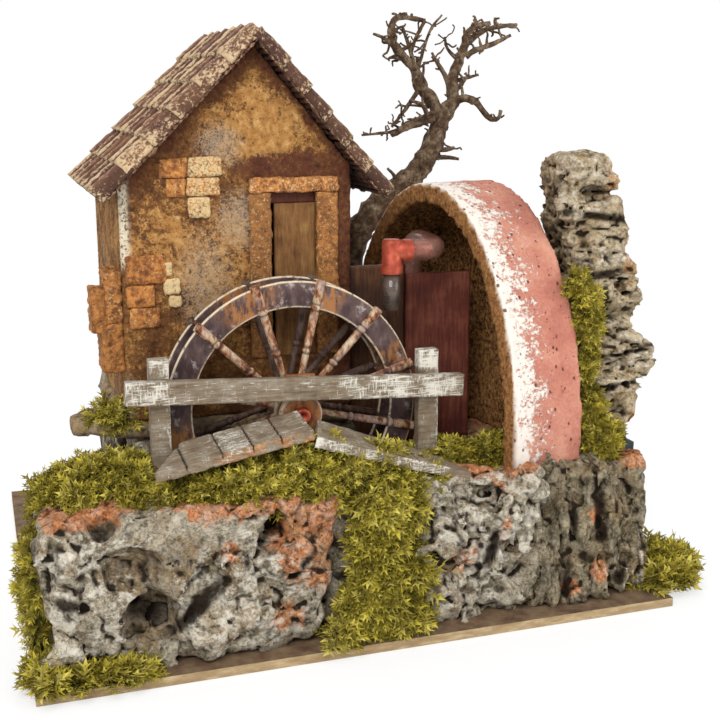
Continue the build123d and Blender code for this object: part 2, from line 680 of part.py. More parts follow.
with BuildPart() as moss_under_planks:
    bed = [
        (PLANK_LEFT_END + MOSS_PLANK_MARGIN, DECK),
        (PLANK_RIGHT_END - 2 * MOSS_PLANK_MARGIN, DECK),
        (PLANK_APEX + PLANK_SPLIT / 2, PLANK_RIGHT_APEX_TOP - PLANK_THICKNESS),
        (PLANK_APEX - PLANK_SPLIT / 2, PLANK_RIGHT_APEX_TOP - PLANK_THICKNESS),
        (PLANK_LEFT_END + MOSS_PLANK_MARGIN, PLANK_LEFT_TOP - PLANK_THICKNESS),
    ]
    with BuildSketch(upright(PLANK_FROM_FRONT + MOSS_CLEARANCE)):
        with BuildLine():
            Polyline([(LEFT + x, z) for x, z in bed], close=True)
        make_face()
    extrude(amount=-(PLANK_WIDTH - 2 * MOSS_CLEARANCE))
save(moss_under_planks, "moss_under_planks")

# Arch: an open mouth at the left, closed by a thin sheet at the other end
turn = math.radians(ARCH_TURN)
mouth = Plane(
    origin=(LEFT + ARCH_FROM_LEFT, FRONT + ARCH_FROM_FRONT, DECK),
    x_dir=(-math.sin(turn), math.cos(turn), 0),
    z_dir=(math.cos(turn), math.sin(turn), 0),
)


def arch_outline(inset, mode):
    """Half an ellipse on its legs, a distance inside the arch's outer face."""
    with Locations((ARCH_HALF_SPAN, ARCH_LEG)):
        Ellipse(ARCH_HALF_SPAN - inset, ARCH_RISE - inset, mode=mode)
    with Locations((ARCH_HALF_SPAN, ARCH_LEG / 2)):
        Rectangle(2 * (ARCH_HALF_SPAN - inset), ARCH_LEG, mode=mode)


def arch_below():
    """Takes away what lies below the arch's foot."""
    with Locations((ARCH_HALF_SPAN, -ARCH_RISE / 2)):
        Rectangle(2 * ARCH_HALF_SPAN, ARCH_RISE, mode=Mode.SUBTRACT)


with BuildPart() as arch_shell:
    with BuildSketch(mouth):
        arch_outline(0, Mode.ADD)
        arch_outline(ARCH_WALL, Mode.SUBTRACT)
        arch_below()
    extrude(amount=ARCH_LENGTH)
save(arch_shell, "arch_shell")

with BuildPart() as arch_end:
    with BuildSketch(mouth.offset(ARCH_LENGTH - ARCH_END_THICKNESS)):
        arch_outline(ARCH_WALL, Mode.ADD)
        arch_below()
    extrude(amount=ARCH_END_THICKNESS)
save(arch_end, "arch_end")

# Screen boards on the back rock
with BuildPart() as screen_red:
    box_between(
        RED_SCREEN_FROM_LEFT, RED_SCREEN_FROM_LEFT + RED_SCREEN_WIDTH,
        RED_SCREEN_FROM_FRONT, RED_SCREEN_FROM_FRONT + RED_SCREEN_THICKNESS,
        DECK, DECK + RED_SCREEN_HEIGHT,
    )
save(screen_red, "screen_red")

with BuildPart() as screen_brown:
    box_between(
        BROWN_SCREEN_FROM_LEFT, BROWN_SCREEN_FROM_LEFT + BROWN_SCREEN_WIDTH,
        BROWN_SCREEN_FROM_FRONT, BROWN_SCREEN_FROM_FRONT + BROWN_SCREEN_THICKNESS,
        DECK, DECK + BROWN_SCREEN_HEIGHT,
    )
save(screen_brown, "screen_brown")

# Spout
spout = (LEFT + SPOUT_FROM_LEFT, FRONT + SPOUT_FROM_FRONT)
with BuildPart() as spout_elbow:
    with Locations((*spout, SPOUT_AXIS_HEIGHT)):
        Sphere(ELBOW_RADIUS)
    with BuildSketch(Plane.XY.offset(SPOUT_AXIS_HEIGHT)):
        with Locations(spout):
            Circle(ELBOW_RADIUS)
    extrude(amount=-ELBOW_DROP)
    with BuildSketch(Plane.XY.offset(ELBOW_END)):
        with Locations(spout):
            Circle(ELBOW_COLLAR_RADIUS)
    extrude(amount=ELBOW_COLLAR_LENGTH)
    stub = Plane(origin=(*spout, SPOUT_AXIS_HEIGHT), z_dir=(1, 0, 0))
    with BuildSketch(stub):
        Circle(ELBOW_RADIUS)
    extrude(amount=ELBOW_REACH)
    with BuildSketch(stub.offset(ELBOW_REACH - ELBOW_COLLAR_LENGTH)):
        Circle(ELBOW_COLLAR_RADIUS)
    extrude(amount=ELBOW_COLLAR_LENGTH)
save(spout_elbow, "spout_elbow")

with BuildPart() as drop_tube:
    with BuildSketch(Plane.XY.offset(DROP_TUBE_END)):
        with Locations(spout):
            Circle(DROP_TUBE_RADIUS)
            Circle(DROP_TUBE_RADIUS - DROP_TUBE_WALL, mode=Mode.SUBTRACT)
    extrude(amount=DROP_TUBE_LENGTH)
save(drop_tube, "drop_tube")

with BuildPart() as feed_hose:
    hose_start = (spout[0] + ELBOW_REACH, spout[1], SPOUT_AXIS_HEIGHT)
    hose_x = hose_start[0] + HOSE_RUN
    hose_y = FRONT + HOSE_FROM_FRONT
    with BuildLine() as hose_path:
        FilletPolyline(
            hose_start, (hose_x, spout[1], SPOUT_AXIS_HEIGHT), (hose_x, hose_y, SPOUT_AXIS_HEIGHT),
            (hose_x, hose_y, DECK), radius=HOSE_BEND,
        )
    with BuildSketch(Plane(origin=hose_start, z_dir=(1, 0, 0))):
        Circle(HOSE_RADIUS)
    sweep(path=hose_path.line)
save(feed_hose, "feed_hose")

# Bark pillar on the basin's right end
with BuildPart() as bark_pillar:
    for height, x0, x1 in PILLAR_SECTIONS:
        with BuildSketch(Plane.XY.offset(DECK + height)):
            chamfered_outline(
                PILLAR_FROM_LEFT + x0, PILLAR_FROM_LEFT + x1, PILLAR_FRONT, PILLAR_BACK, PILLAR_CORNER,
            )
    loft(ruled=True)
save(bark_pillar, "bark_pillar")

# Bare tree behind the arch
with BuildPart() as tree:
    for points, first_radius, last_radius in TREE_LIMBS:
        limb(points, first_radius, last_radius)
    box_between(0, BOARD_WIDTH, 0, BOARD_DEPTH, 0, DECK, mode=Mode.SUBTRACT)
save(tree, "tree")

# Moss
with BuildPart() as moss_left:
    moss_pad(
        ROCK_SIDE_MARGIN + 2 * MOSS_EDGE_MARGIN, PLANK_LEFT_END - MOSS_CLEARANCE,
        ROCK_FRONT_MARGIN + 2 * MOSS_EDGE_MARGIN, BASIN_BACK - MOSS_EDGE_MARGIN, DECK, MOSS_LEFT_HEIGHT,
    )
    moss_pad(
        ROCK_SIDE_MARGIN + MOSS_CLEARANCE, ROCK_SIDE_MARGIN + MOSS_CLEARANCE + MOSS_CORNER_WIDTH,
        MOSS_CLEARANCE, ROCK_FRONT_MARGIN, BOARD_TOP, MOSS_CORNER_HEIGHT,
    )
    moss_pad(
        0, ROCK_SIDE_MARGIN, ROCK_FRONT_MARGIN + MOSS_EDGE_MARGIN, BASIN_BACK, BOARD_TOP, MOSS_EDGE_HEIGHT,
    )
save(moss_left, "moss_left")

with BuildPart() as moss_fall:
    moss_pad(
        left_rock_end - MOSS_FALL_OVERLAP, middle_rock_end + MOSS_FALL_OVERLAP,
        MOSS_FALL_FROM_FRONT, ROCK_FRONT_MARGIN,
        BOARD_TOP, MOSS_FALL_HEIGHT,
    )
save(moss_fall, "moss_fall")

post_right = RIGHT_POST_FROM_LEFT + RIGHT_POST_WIDTH
with BuildPart() as moss_arch:
    moss_pad(
        post_right + MOSS_EDGE_MARGIN, post_right + MOSS_EDGE_MARGIN + MOSS_ARCH_WIDTH,
        plank_back + MOSS_ARCH_GAP, BASIN_FROM_FRONT + BASIN_WALL, DECK, MOSS_ARCH_HEIGHT,
    )
save(moss_arch, "moss_arch")

with BuildPart() as moss_right:
    moss_pad(
        ROCK_RIGHT, ROCK_RIGHT + MOSS_RIGHT_REACH, ROCK_FRONT_MARGIN + MOSS_EDGE_MARGIN,
        BASIN_FROM_FRONT, BOARD_TOP, MOSS_RIGHT_HEIGHT,
    )
save(moss_right, "moss_right")

with BuildPart() as moss_pillar:
    moss_x = PILLAR_FROM_LEFT - MOSS_EDGE_MARGIN
    moss_pad(
        moss_x, moss_x + MOSS_PILLAR_WIDTH, PILLAR_FRONT - MOSS_PILLAR_DEPTH, PILLAR_FRONT,
        DECK, MOSS_PILLAR_HEIGHT,
    )
save(moss_pillar, "moss_pillar")

with BuildPart() as moss_back:
    moss_pad(
        MOSS_BACK_MARGIN, BOARD_WIDTH - MOSS_BACK_MARGIN, ROCK_BACK, BOARD_DEPTH - MOSS_EDGE_MARGIN,
        BOARD_TOP, MOSS_BACK_HEIGHT,
    )
save(moss_back, "moss_back")
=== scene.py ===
"""Looks of a craft model of a watermill.

Cork rocks, moss, a plastered house, a wheel, an arch and a bare tree stand on a board.
Places in the classes are in millimetres from the board's left front corner, as in the part's source.
They become metres in the model's frame when a piece is made.
"""
from __future__ import annotations

import logging
import math
from dataclasses import dataclass, field
from enum import Enum
from itertools import product
from typing import Callable, Iterable, Iterator, Optional, Sequence

import bpy
import numpy as np
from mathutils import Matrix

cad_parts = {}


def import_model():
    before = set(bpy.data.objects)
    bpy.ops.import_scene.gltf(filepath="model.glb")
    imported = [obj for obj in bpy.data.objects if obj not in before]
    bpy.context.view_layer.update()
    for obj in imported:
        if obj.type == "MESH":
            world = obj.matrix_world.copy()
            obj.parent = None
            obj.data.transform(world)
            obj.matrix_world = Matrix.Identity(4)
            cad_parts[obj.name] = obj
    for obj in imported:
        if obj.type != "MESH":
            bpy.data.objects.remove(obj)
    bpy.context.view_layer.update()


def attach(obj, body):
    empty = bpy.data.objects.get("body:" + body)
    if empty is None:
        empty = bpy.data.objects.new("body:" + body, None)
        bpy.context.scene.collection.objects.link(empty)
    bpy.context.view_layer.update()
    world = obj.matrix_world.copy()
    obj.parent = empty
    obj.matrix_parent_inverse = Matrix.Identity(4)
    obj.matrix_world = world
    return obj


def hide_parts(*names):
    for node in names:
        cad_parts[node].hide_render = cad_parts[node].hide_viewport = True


Shade = tuple[float, float, float]
Point = tuple[float, float, float]
Socket = bpy.types.NodeSocket

LOG = logging.getLogger("watermill")
MM = 0.001
MIDDLE = np.array([140.0, 122.5, 0.0])
AXLE = (116.5, 94.5)  # the wheel's axle, across and up
BORE = 3.55  # radius of the bearings' bores
FAR_OFF = 9.0  # more than the squared distance to any spot that is looked at, in cells


def to_frame(points: np.ndarray) -> np.ndarray:
    """Turns board millimetres into the frame's metres.

    Args:
        points: rows of x, y, z from the board's left front corner.

    Returns:
        The same points in the model's frame.
    """
    return (np.asarray(points, dtype=float) - MIDDLE) * MM


def linear(shade: Shade) -> tuple[float, float, float, float]:
    """Turns a colour as seen, 0 to 255, into the linear one that a shader takes.

    Args:
        shade: red, green and blue as seen.

    Returns:
        Red, green, blue and alpha for a socket.
    """
    parts = [value / 255 for value in shade]
    turned = [part / 12.92 if part <= 0.04045 else ((part + 0.055) / 1.055) ** 2.4 for part in parts]
    return (turned[0], turned[1], turned[2], 1.0)


def step_between(values: np.ndarray, low: float, high: float) -> np.ndarray:
    """Rises smoothly from 0 at low to 1 at high.

    Args:
        values: any array.
        low: where the rise begins.
        high: where it ends; may be below low.

    Returns:
        Values from 0 to 1.
    """
    share = np.clip((values - low) / (high - low), 0, 1)
    return share * share * (3 - 2 * share)


class Body(Enum):
    """The two bodies that pieces ride on."""

    MILL = "mill"
    WHEEL = "wheel"


class Slot(Enum):
    """The record's material slots."""

    FIBREBOARD = "fibreboard"
    CORK = "cork_rock"
    MOSS = "moss"
    BASIN = "basin_black"
    PLASTER = "wall_plaster"
    BRICK = "painted_brick"
    DOOR = "door_wood"
    ROOF_BOARD = "roof_board"
    TILE = "roof_tile"
    WHEEL = "wheel_paint"
    SPOKE = "spoke_wood"
    COPPER = "copper"
    WOOD = "weathered_wood"
    CLAY = "arch_clay"
    RED_SCREEN = "screen_red"
    BROWN_SCREEN = "screen_brown"
    TUBE = "clear_tube"
    TWIG = "twig"


class Grain:
    """Smooth random values in space, the same on each run."""

    def __init__(self, seed: int) -> None:
        """Draws the table of directions.

        Args:
            seed: number that fixes the values.
        """
        draw = np.random.default_rng(seed)
        self.order = draw.permutation(256)
        leans = draw.normal(size=(256, 3))
        self.leans = (leans / np.linalg.norm(leans, axis=1, keepdims=True)).astype(np.float32)
        self.spots = draw.random((256, 3)).astype(np.float32)

    def _pick(self, x: np.ndarray, y: np.ndarray, z: np.ndarray) -> np.ndarray:
        """Table entry of each cell."""
        return self.order[(self.order[(self.order[x & 255] + y) & 255] + z) & 255]

    def smooth(self, points: np.ndarray) -> np.ndarray:
        """Values of one layer of smooth noise with cells one unit wide.

        Args:
            points: rows of x, y, z.

        Returns:
            Values of about -1 to 1.
        """
        cell = np.floor(points).astype(np.int64)
        part = (points - cell).astype(np.float32)
        ease = part * part * part * (part * (part * 6 - 15) + 10)
        total = np.zeros(len(points), dtype=np.float32)
        for corner in range(8):
            step = np.array([corner & 1, corner >> 1 & 1, corner >> 2 & 1])
            at = cell + step
            lean = self.leans[self._pick(at[:, 0], at[:, 1], at[:, 2])]
            weight = np.prod(np.where(step, ease, 1 - ease), axis=1)
            total += weight * np.einsum("ij,ij->i", lean, part - step.astype(np.float32))
        return total * 1.6

    def layers(self, points: np.ndarray, size: Sequence[float] | float, count: int = 4,
               fall: float = 0.5) -> np.ndarray:
        """Several layers of smooth noise, each half the size of the last.

        Args:
            points: rows of x, y, z in millimetres.
            size: width of the largest cells, one number or one for each direction.
            count: number of layers.
            fall: strength of each layer against the last.

        Returns:
            Values of about -1 to 1.
        """
        scaled = points / np.asarray(size, dtype=float)
        total, strength, whole = 0.0, 1.0, 0.0
        for layer in range(count):
            total = total + strength * self.smooth(scaled * 2 ** layer + 17.3 * layer)
            whole += strength
            strength *= fall
        return total / whole ** 0.7

    def cracks(self, points: np.ndarray, size: Sequence[float] | float, count: int = 2) -> np.ndarray:
        """Thin branching lines, 1 on a line and 0 away from it.

        Args:
            points: rows of x, y, z in millimetres.
            size: distance between lines, one number or one for each direction.
            count: number of layers.

        Returns:
            Values from 0 to 1.
        """
        return np.clip(1 - np.abs(self.layers(points, size, count)) * 7, 0, 1) ** 1.5

    def _near_spots(self, points: np.ndarray, size: Sequence[float] | float) -> Iterator[
            tuple[np.ndarray, np.ndarray, np.ndarray]]:
        """The scattered spots in the cells round each point, one cell after another.

        Args:
            points: rows of x, y, z in millimetres.
            size: width of a cell, one number or one for each direction.

        Yields:
            Table entry of each point's spot, the way to the spot, and its squared distance.
        """
        scaled = points / np.asarray(size, dtype=float)
        cell = np.floor(scaled).astype(np.int64)
        part = (scaled - cell).astype(np.float32)
        for step in product((-1, 0, 1), repeat=3):
            entry = self._pick(*(cell + np.array(step)).T)
            gap = self.spots[entry] + np.array(step, dtype=np.float32) - part
            yield entry, gap, np.einsum("ij,ij->i", gap, gap)

    def knobs(self, points: np.ndarray, size: Sequence[float] | float) -> np.ndarray:
        """Rounded knobs set side by side, 1 at the middle of each and 0 between them.

        Args:
            points: rows of x, y, z in millimetres.
            size: width of a knob, one number or one for each direction.

        Returns:
            Values from 0 to 1.
        """
        nearest = np.full(len(points), FAR_OFF, dtype=np.float32)
        for _, _, distance in self._near_spots(points, size):
            nearest = np.minimum(nearest, distance)
        return np.clip(1 - np.sqrt(nearest), 0, 1)

    def facets(self, points: np.ndarray, size: Sequence[float] | float) -> np.ndarray:
        """Flat faces that lean each their own way, with a step from one to the next.

        Args:
            points: rows of x, y, z in millimetres.
            size: width of a face, one number or one for each direction.

        Returns:
            Values of about -1 to 1.
        """
        nearest = np.full(len(points), FAR_OFF, dtype=np.float32)
        value = np.zeros(len(points), dtype=np.float32)
        for entry, gap, distance in self._near_spots(points, size):
            closer = distance < nearest
            lean = np.einsum("ij,ij->i", gap, self.leans[entry]) + 0.5 * self.leans[entry][:, 0]
            nearest = np.where(closer, distance, nearest)
            value = np.where(closer, lean, value)
        return value


@dataclass
class Skin:
    """A mesh still held as arrays: points in board millimetres and faces of three or four corners."""

    points: np.ndarray
    faces: np.ndarray
    marks: dict[str, np.ndarray] = field(default_factory=dict)

    def normals(self) -> np.ndarray:
        """Unit normals at the points."""
        corner = self.points[self.faces]
        across = np.cross(corner[:, 2] - corner[:, 0], corner[:, -1] - corner[:, 1])
        summed = np.zeros_like(self.points)
        for column in range(self.faces.shape[1]):
            for axis in range(3):
                summed[:, axis] += np.bincount(
                    self.faces[:, column], weights=across[:, axis], minlength=len(self.points))
        length = np.linalg.norm(summed, axis=1, keepdims=True)
        return summed / np.maximum(length, 1e-9)

    def eased(self, rounds: int) -> np.ndarray:
        """The points after each has moved to the middle of its neighbours some times."""
        eased = self.points.copy()
        count = self.faces.shape[1]
        ends = np.concatenate([self.faces[:, [k, (k + 1) % count]] for k in range(count)])
        number = np.maximum(np.bincount(ends.ravel(), minlength=len(eased)), 1)[:, None]
        for _ in range(rounds):
            summed = np.zeros_like(eased)
            for axis in range(3):
                summed[:, axis] = (
                    np.bincount(ends[:, 0], weights=eased[ends[:, 1], axis], minlength=len(eased))
                    + np.bincount(ends[:, 1], weights=eased[ends[:, 0], axis], minlength=len(eased)))
            eased = summed / number
        return eased

    def level(self, value: float) -> np.ndarray:
        """A mark that has the same value at all points."""
        return np.full(len(self.points), float(value))

    def hollowness(self, rounds: int = 6) -> np.ndarray:
        """How deep each point lies under its surroundings, in millimetres."""
        return np.einsum("ij,ij->i", self.eased(rounds) - self.points, self.normals())


def joined(skins: Iterable[Skin]) -> Skin:
    """Puts several skins with the same kind of faces into one.

    Args:
        skins: the skins, each with the same marks.

    Returns:
        One skin.
    """
    skins = list(skins)
    starts = np.cumsum([0] + [len(skin.points) for skin in skins[:-1]])
    names = skins[0].marks.keys()
    return Skin(
        np.concatenate([skin.points for skin in skins]),
        np.concatenate([skin.faces + start for skin, start in zip(skins, starts)]),
        {name: np.concatenate([skin.marks[name] for skin in skins]) for name in names},
    )


def wrapped(form: Callable[[np.ndarray], np.ndarray], low: Point, high: Point, pitch: float,
            relief: Optional[Callable[[np.ndarray], np.ndarray]] = None, reach: float = 5.0) -> Skin:
    """Lays a skin of four-sided faces over a form given by its distance function.

    Args:
        form: distance outside the form, negative inside, for rows of points.
        low: lowest corner of the space looked at.
        high: highest corner.
        pitch: width of a face.
        relief: height of the surface detail over the form, worked out only near it.
        reach: the most that relief adds or takes.

    Returns:
        The skin.
    """
    counts = np.ceil((np.array(high) - np.array(low)) / pitch).astype(int) + 1
    axes = [low[k] + pitch * np.arange(counts[k]) for k in range(3)]
    grid = np.stack(np.meshgrid(*axes, indexing="ij"), axis=-1).reshape(-1, 3).astype(np.float32)
    values = form(grid).astype(np.float32)
    if relief is not None:
        near = np.abs(values) < reach
        values[near] -= relief(grid[near]).astype(np.float32)
    values = values.reshape(counts)
    edge = np.ones(counts, dtype=bool)
    edge[1:-1, 1:-1, 1:-1] = False
    values[edge] = np.maximum(values[edge], 0.05)
    inside = values < 0
    corners = np.array([[k & 1, k >> 1 & 1, k >> 2 & 1] for k in range(8)])
    shape = tuple(counts - 1)
    filled = sum(
        inside[c[0]:c[0] + shape[0], c[1]:c[1] + shape[1], c[2]:c[2] + shape[2]].astype(np.int8)
        for c in corners)
    active = (filled > 0) & (filled < 8)
    number = np.full(shape, -1, dtype=np.int64)
    number[active] = np.arange(int(active.sum()))
    cells = np.argwhere(active)
    held = np.stack([values[tuple((cells + c).T)] for c in corners], axis=1)
    place = np.zeros((len(cells), 3))
    crossings = np.zeros(len(cells))
    for first in range(8):
        for axis in range(3):
            second = first | 1 << axis
            if second == first:
                continue
            start, end = held[:, first], held[:, second]
            crosses = (start < 0) != (end < 0)
            share = np.where(crosses, start / np.where(start == end, 1, start - end), 0)
            at = corners[first] + share[:, None] * (corners[second] - corners[first])
            place += np.where(crosses[:, None], at, 0)
            crossings += crosses
    points = np.array(low) + pitch * (cells + place / np.maximum(crossings, 1)[:, None])
    faces = []
    for axis in range(3):
        across, up = (axis + 1) % 3, (axis + 2) % 3
        first = np.take(inside, range(counts[axis] - 1), axis=axis)
        second = np.take(inside, range(1, counts[axis]), axis=axis)
        for turned, changed in ((False, first & ~second), (True, second & ~first)):
            at = np.argwhere(changed)
            keep = ((at[:, across] > 0) & (at[:, across] < counts[across] - 1)
                    & (at[:, up] > 0) & (at[:, up] < counts[up] - 1))
            at = at[keep]
            ring = []
            for back_across, back_up in ((1, 1), (0, 1), (0, 0), (1, 0)):
                cell = at.copy()
                cell[:, across] -= back_across
                cell[:, up] -= back_up
                ring.append(number[tuple(cell.T)])
            quads = np.stack(ring, axis=1)
            faces.append(quads[:, ::-1] if turned else quads)
    return Skin(points, np.concatenate(faces))


def make_piece(name: str, skin: Skin, material: bpy.types.Material, body: Body,
               nodes: Sequence[str] = ()) -> bpy.types.Object:
    """Makes an object of a skin, gives it its body and hides the CAD nodes that it stands for.

    Args:
        name: the piece's name.
        skin: its points, faces and marks.
        material: its finish.
        body: what it rides on.
        nodes: the CAD nodes that it stands for.

    Returns:
        The object.
    """
    mesh = bpy.data.meshes.new(name)
    sides = skin.faces.shape[1]
    mesh.vertices.add(len(skin.points))
    mesh.vertices.foreach_set("co", to_frame(skin.points).astype(np.float32).ravel())
    mesh.loops.add(skin.faces.size)
    mesh.loops.foreach_set("vertex_index", skin.faces.astype(np.int32).ravel())
    mesh.polygons.add(len(skin.faces))
    mesh.polygons.foreach_set("loop_start", np.arange(0, skin.faces.size, sides, dtype=np.int32))
    mesh.update(calc_edges=True)
    mesh.validate()
    for mark, values in skin.marks.items():
        layer = mesh.attributes.new(mark, "FLOAT", "POINT")
        layer.data.foreach_set("value", values.astype(np.float32))
    mesh.shade_smooth()
    mesh.materials.append(material)
    piece = bpy.data.objects.new(name, mesh)
    bpy.context.scene.collection.objects.link(piece)
    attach(piece, body.value)
    if nodes:
        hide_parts(*nodes)
    LOG.info("%s: %d faces", name, len(skin.faces))
    return piece


def block(points: np.ndarray, low: Point, high: Point, corner: float) -> np.ndarray:
    """Distance outside a box with rounded edges."""
    low, high = np.asarray(low, dtype=np.float32), np.asarray(high, dtype=np.float32)
    over = np.abs(points - (low + high) / 2) - ((high - low) / 2 - corner)
    outside = np.linalg.norm(np.maximum(over, 0), axis=1)
    return outside + np.minimum(over.max(axis=1), 0) - corner


def lump(points: np.ndarray, centre: Point, radii: Point) -> np.ndarray:
    """Distance outside an ellipsoid, nearly."""
    scaled = (points - np.asarray(centre, dtype=np.float32)) / np.asarray(radii, dtype=np.float32)
    return (np.linalg.norm(scaled, axis=1) - 1) * min(radii)


def rod(points: np.ndarray, start: Point, end: Point, radius: float) -> np.ndarray:
    """Distance outside a round-ended rod."""
    start, end = np.asarray(start, dtype=np.float32), np.asarray(end, dtype=np.float32)
    run = end - start
    share = np.clip((points - start) @ run / (run @ run), 0, 1)
    return np.linalg.norm(points - start - share[:, None] * run, axis=1) - radius


def merge(first: np.ndarray, second: np.ndarray, ease: float) -> np.ndarray:
    """Joins two forms with a soft fillet."""
    share = np.clip(0.5 + 0.5 * (second - first) / ease, 0, 1)
    return second * (1 - share) + first * share - ease * share * (1 - share)


def carve(first: np.ndarray, tool: np.ndarray, ease: float) -> np.ndarray:
    """Takes the tool's form out of the first, with a soft edge."""
    return -merge(-first, tool, ease)


class Recipe:
    """A material's nodes while they are put together."""

    def __init__(self, name: str) -> None:
        """Begins a material with its shader.

        Args:
            name: the material's name.
        """
        self.material = bpy.data.materials.new(name)
        self.material.use_nodes = True
        self.tree = self.material.node_tree
        self.shader = self.tree.nodes["Principled BSDF"]
        self.where = self.tree.nodes.new("ShaderNodeTexCoord").outputs["Object"]

    def _feed(self, socket: Socket, value: object) -> None:
        """Links a socket, or sets its number or colour."""
        if isinstance(value, bpy.types.NodeSocket):
            self.tree.links.new(value, socket)
        elif isinstance(value, tuple) and len(value) == 3 and socket.type == "RGBA":
            socket.default_value = linear(value)
        else:
            socket.default_value = value

    def place(self, stretch: Point = (1, 1, 1), shift: float = 0.0, turn: float = 0.0) -> Socket:
        """Places on the piece in millimetres, stretched.

        Args:
            stretch: how many times longer the pattern is in each direction.
            shift: moves the pattern, so that two uses differ.
            turn: turns the pattern about the upright axis across the model, in degrees.

        Returns:
            The socket to give to a pattern.
        """
        node = self.tree.nodes.new("ShaderNodeMapping")
        node.inputs["Location"].default_value = (shift, shift * 0.7, shift * 1.3)
        node.inputs["Rotation"].default_value = (0, math.radians(turn), 0)
        node.inputs["Scale"].default_value = tuple(1000 / value for value in stretch)
        self.tree.links.new(self.where, node.inputs["Vector"])
        return node.outputs["Vector"]

    def noise(self, size: float, detail: float = 4, rough: float = 0.55, stretch: Point = (1, 1, 1),
              shift: float = 0.0, warp: float = 0.0, turn: float = 0.0) -> Socket:
        """Cloudy pattern from 0 to 1, with patches of the given size in millimetres."""
        node = self.tree.nodes.new("ShaderNodeTexNoise")
        node.inputs["Scale"].default_value = 1 / size
        node.inputs["Detail"].default_value = detail
        node.inputs["Roughness"].default_value = rough
        node.inputs["Distortion"].default_value = warp
        self.tree.links.new(self.place(stretch, shift, turn), node.inputs["Vector"])
        return node.outputs["Fac"]

    def cells(self, size: float, stretch: Point = (1, 1, 1), edges: bool = False,
              shift: float = 0.0) -> Socket:
        """Distance to the nearest of scattered spots, or to the line between them."""
        node = self.tree.nodes.new("ShaderNodeTexVoronoi")
        node.feature = "DISTANCE_TO_EDGE" if edges else "F1"
        node.inputs["Scale"].default_value = 1 / size
        self.tree.links.new(self.place(stretch, shift), node.inputs["Vector"])
        return node.outputs["Distance"]

    def mark(self, name: str) -> Socket:
        """Value of a mark that the piece's mesh carries."""
        node = self.tree.nodes.new("ShaderNodeAttribute")
        node.attribute_name = name
        return node.outputs["Fac"]

    def axis(self, name: str) -> Socket:
        """Place along X, Y or Z in the frame, in metres."""
        node = self.tree.nodes.new("ShaderNodeSeparateXYZ")
        self.tree.links.new(self.where, node.inputs["Vector"])
        return node.outputs[name]

    def facing(self, name: str) -> Socket:
        """How far the surface faces along X, Y or Z, from -1 to 1."""
        node = self.tree.nodes.new("ShaderNodeSeparateXYZ")
        around = self.tree.nodes.new("ShaderNodeNewGeometry")
        self.tree.links.new(around.outputs["Normal"], node.inputs["Vector"])
        return node.outputs[name]

    def fade(self, source: Socket, low: float, high: float, first: float = 0.0, last: float = 1.0) -> Socket:
        """Turns a range of values into another, held at its ends."""
        node = self.tree.nodes.new("ShaderNodeMapRange")
        node.interpolation_type = "SMOOTHSTEP"
        for name, value in (("From Min", low), ("From Max", high), ("To Min", first), ("To Max", last)):
            node.inputs[name].default_value = value
        self.tree.links.new(source, node.inputs["Value"])
        return node.outputs["Result"]

    def ramp(self, source: Socket, *stops: tuple[float, Shade]) -> Socket:
        """Colours along a range of values."""
        node = self.tree.nodes.new("ShaderNodeValToRGB")
        elements = node.color_ramp.elements
        while len(elements) < len(stops):
            elements.new(1)
        for element, (place, shade) in zip(elements, stops):
            element.position = place
            element.color = linear(shade)
        self.tree.links.new(source, node.inputs["Fac"])
        return node.outputs["Color"]

    def blend(self, share: object, below: object, above: object, way: str = "MIX") -> Socket:
        """Lays one colour over another."""
        node = self.tree.nodes.new("ShaderNodeMix")
        node.data_type = "RGBA"
        node.blend_type = way
        self._feed(node.inputs["Factor"], share)
        self._feed(node.inputs[6], below)
        self._feed(node.inputs[7], above)
        return node.outputs[2]

    def sum(self, way: str, first: object, second: object, clamp: bool = False) -> Socket:
        """One step of arithmetic: ADD, MULTIPLY, SUBTRACT, MAXIMUM and so on."""
        node = self.tree.nodes.new("ShaderNodeMath")
        node.operation = way
        node.use_clamp = clamp
        self._feed(node.inputs[0], first)
        self._feed(node.inputs[1], second)
        return node.outputs[0]

    def times(self, first: object, second: object) -> Socket:
        """Product of two values."""
        return self.sum("MULTIPLY", first, second)

    def plus(self, first: object, second: object) -> Socket:
        """Sum of two values."""
        return self.sum("ADD", first, second)

    def shaded(self, colour: object, low: float, high: float, most: float, shade: Shade) -> Socket:
        """Paints shade into a colour where the piece's mesh is hollow, most from high on."""
        return self.blend(self.fade(self.mark("hollow"), low, high, 0, most), colour, shade)

    def bump(self, height: Socket, depth: float, strength: float = 1.0) -> None:
        """Raises the surface by a pattern, depth in millimetres."""
        node = self.tree.nodes.new("ShaderNodeBump")
        node.inputs["Strength"].default_value = strength
        node.inputs["Distance"].default_value = depth * MM
        self.tree.links.new(height, node.inputs["Height"])
        self.tree.links.new(node.outputs["Normal"], self.shader.inputs["Normal"])

    def done(self, colour: object, roughness: object = 0.9, shine: float = 0.3) -> bpy.types.Material:
        """Gives the shader its colour, roughness and shine, and returns the material."""
        self._feed(self.shader.inputs["Base Color"], colour)
        self._feed(self.shader.inputs["Roughness"], roughness)
        self.shader.inputs["Specular IOR Level"].default_value = shine
        return self.material


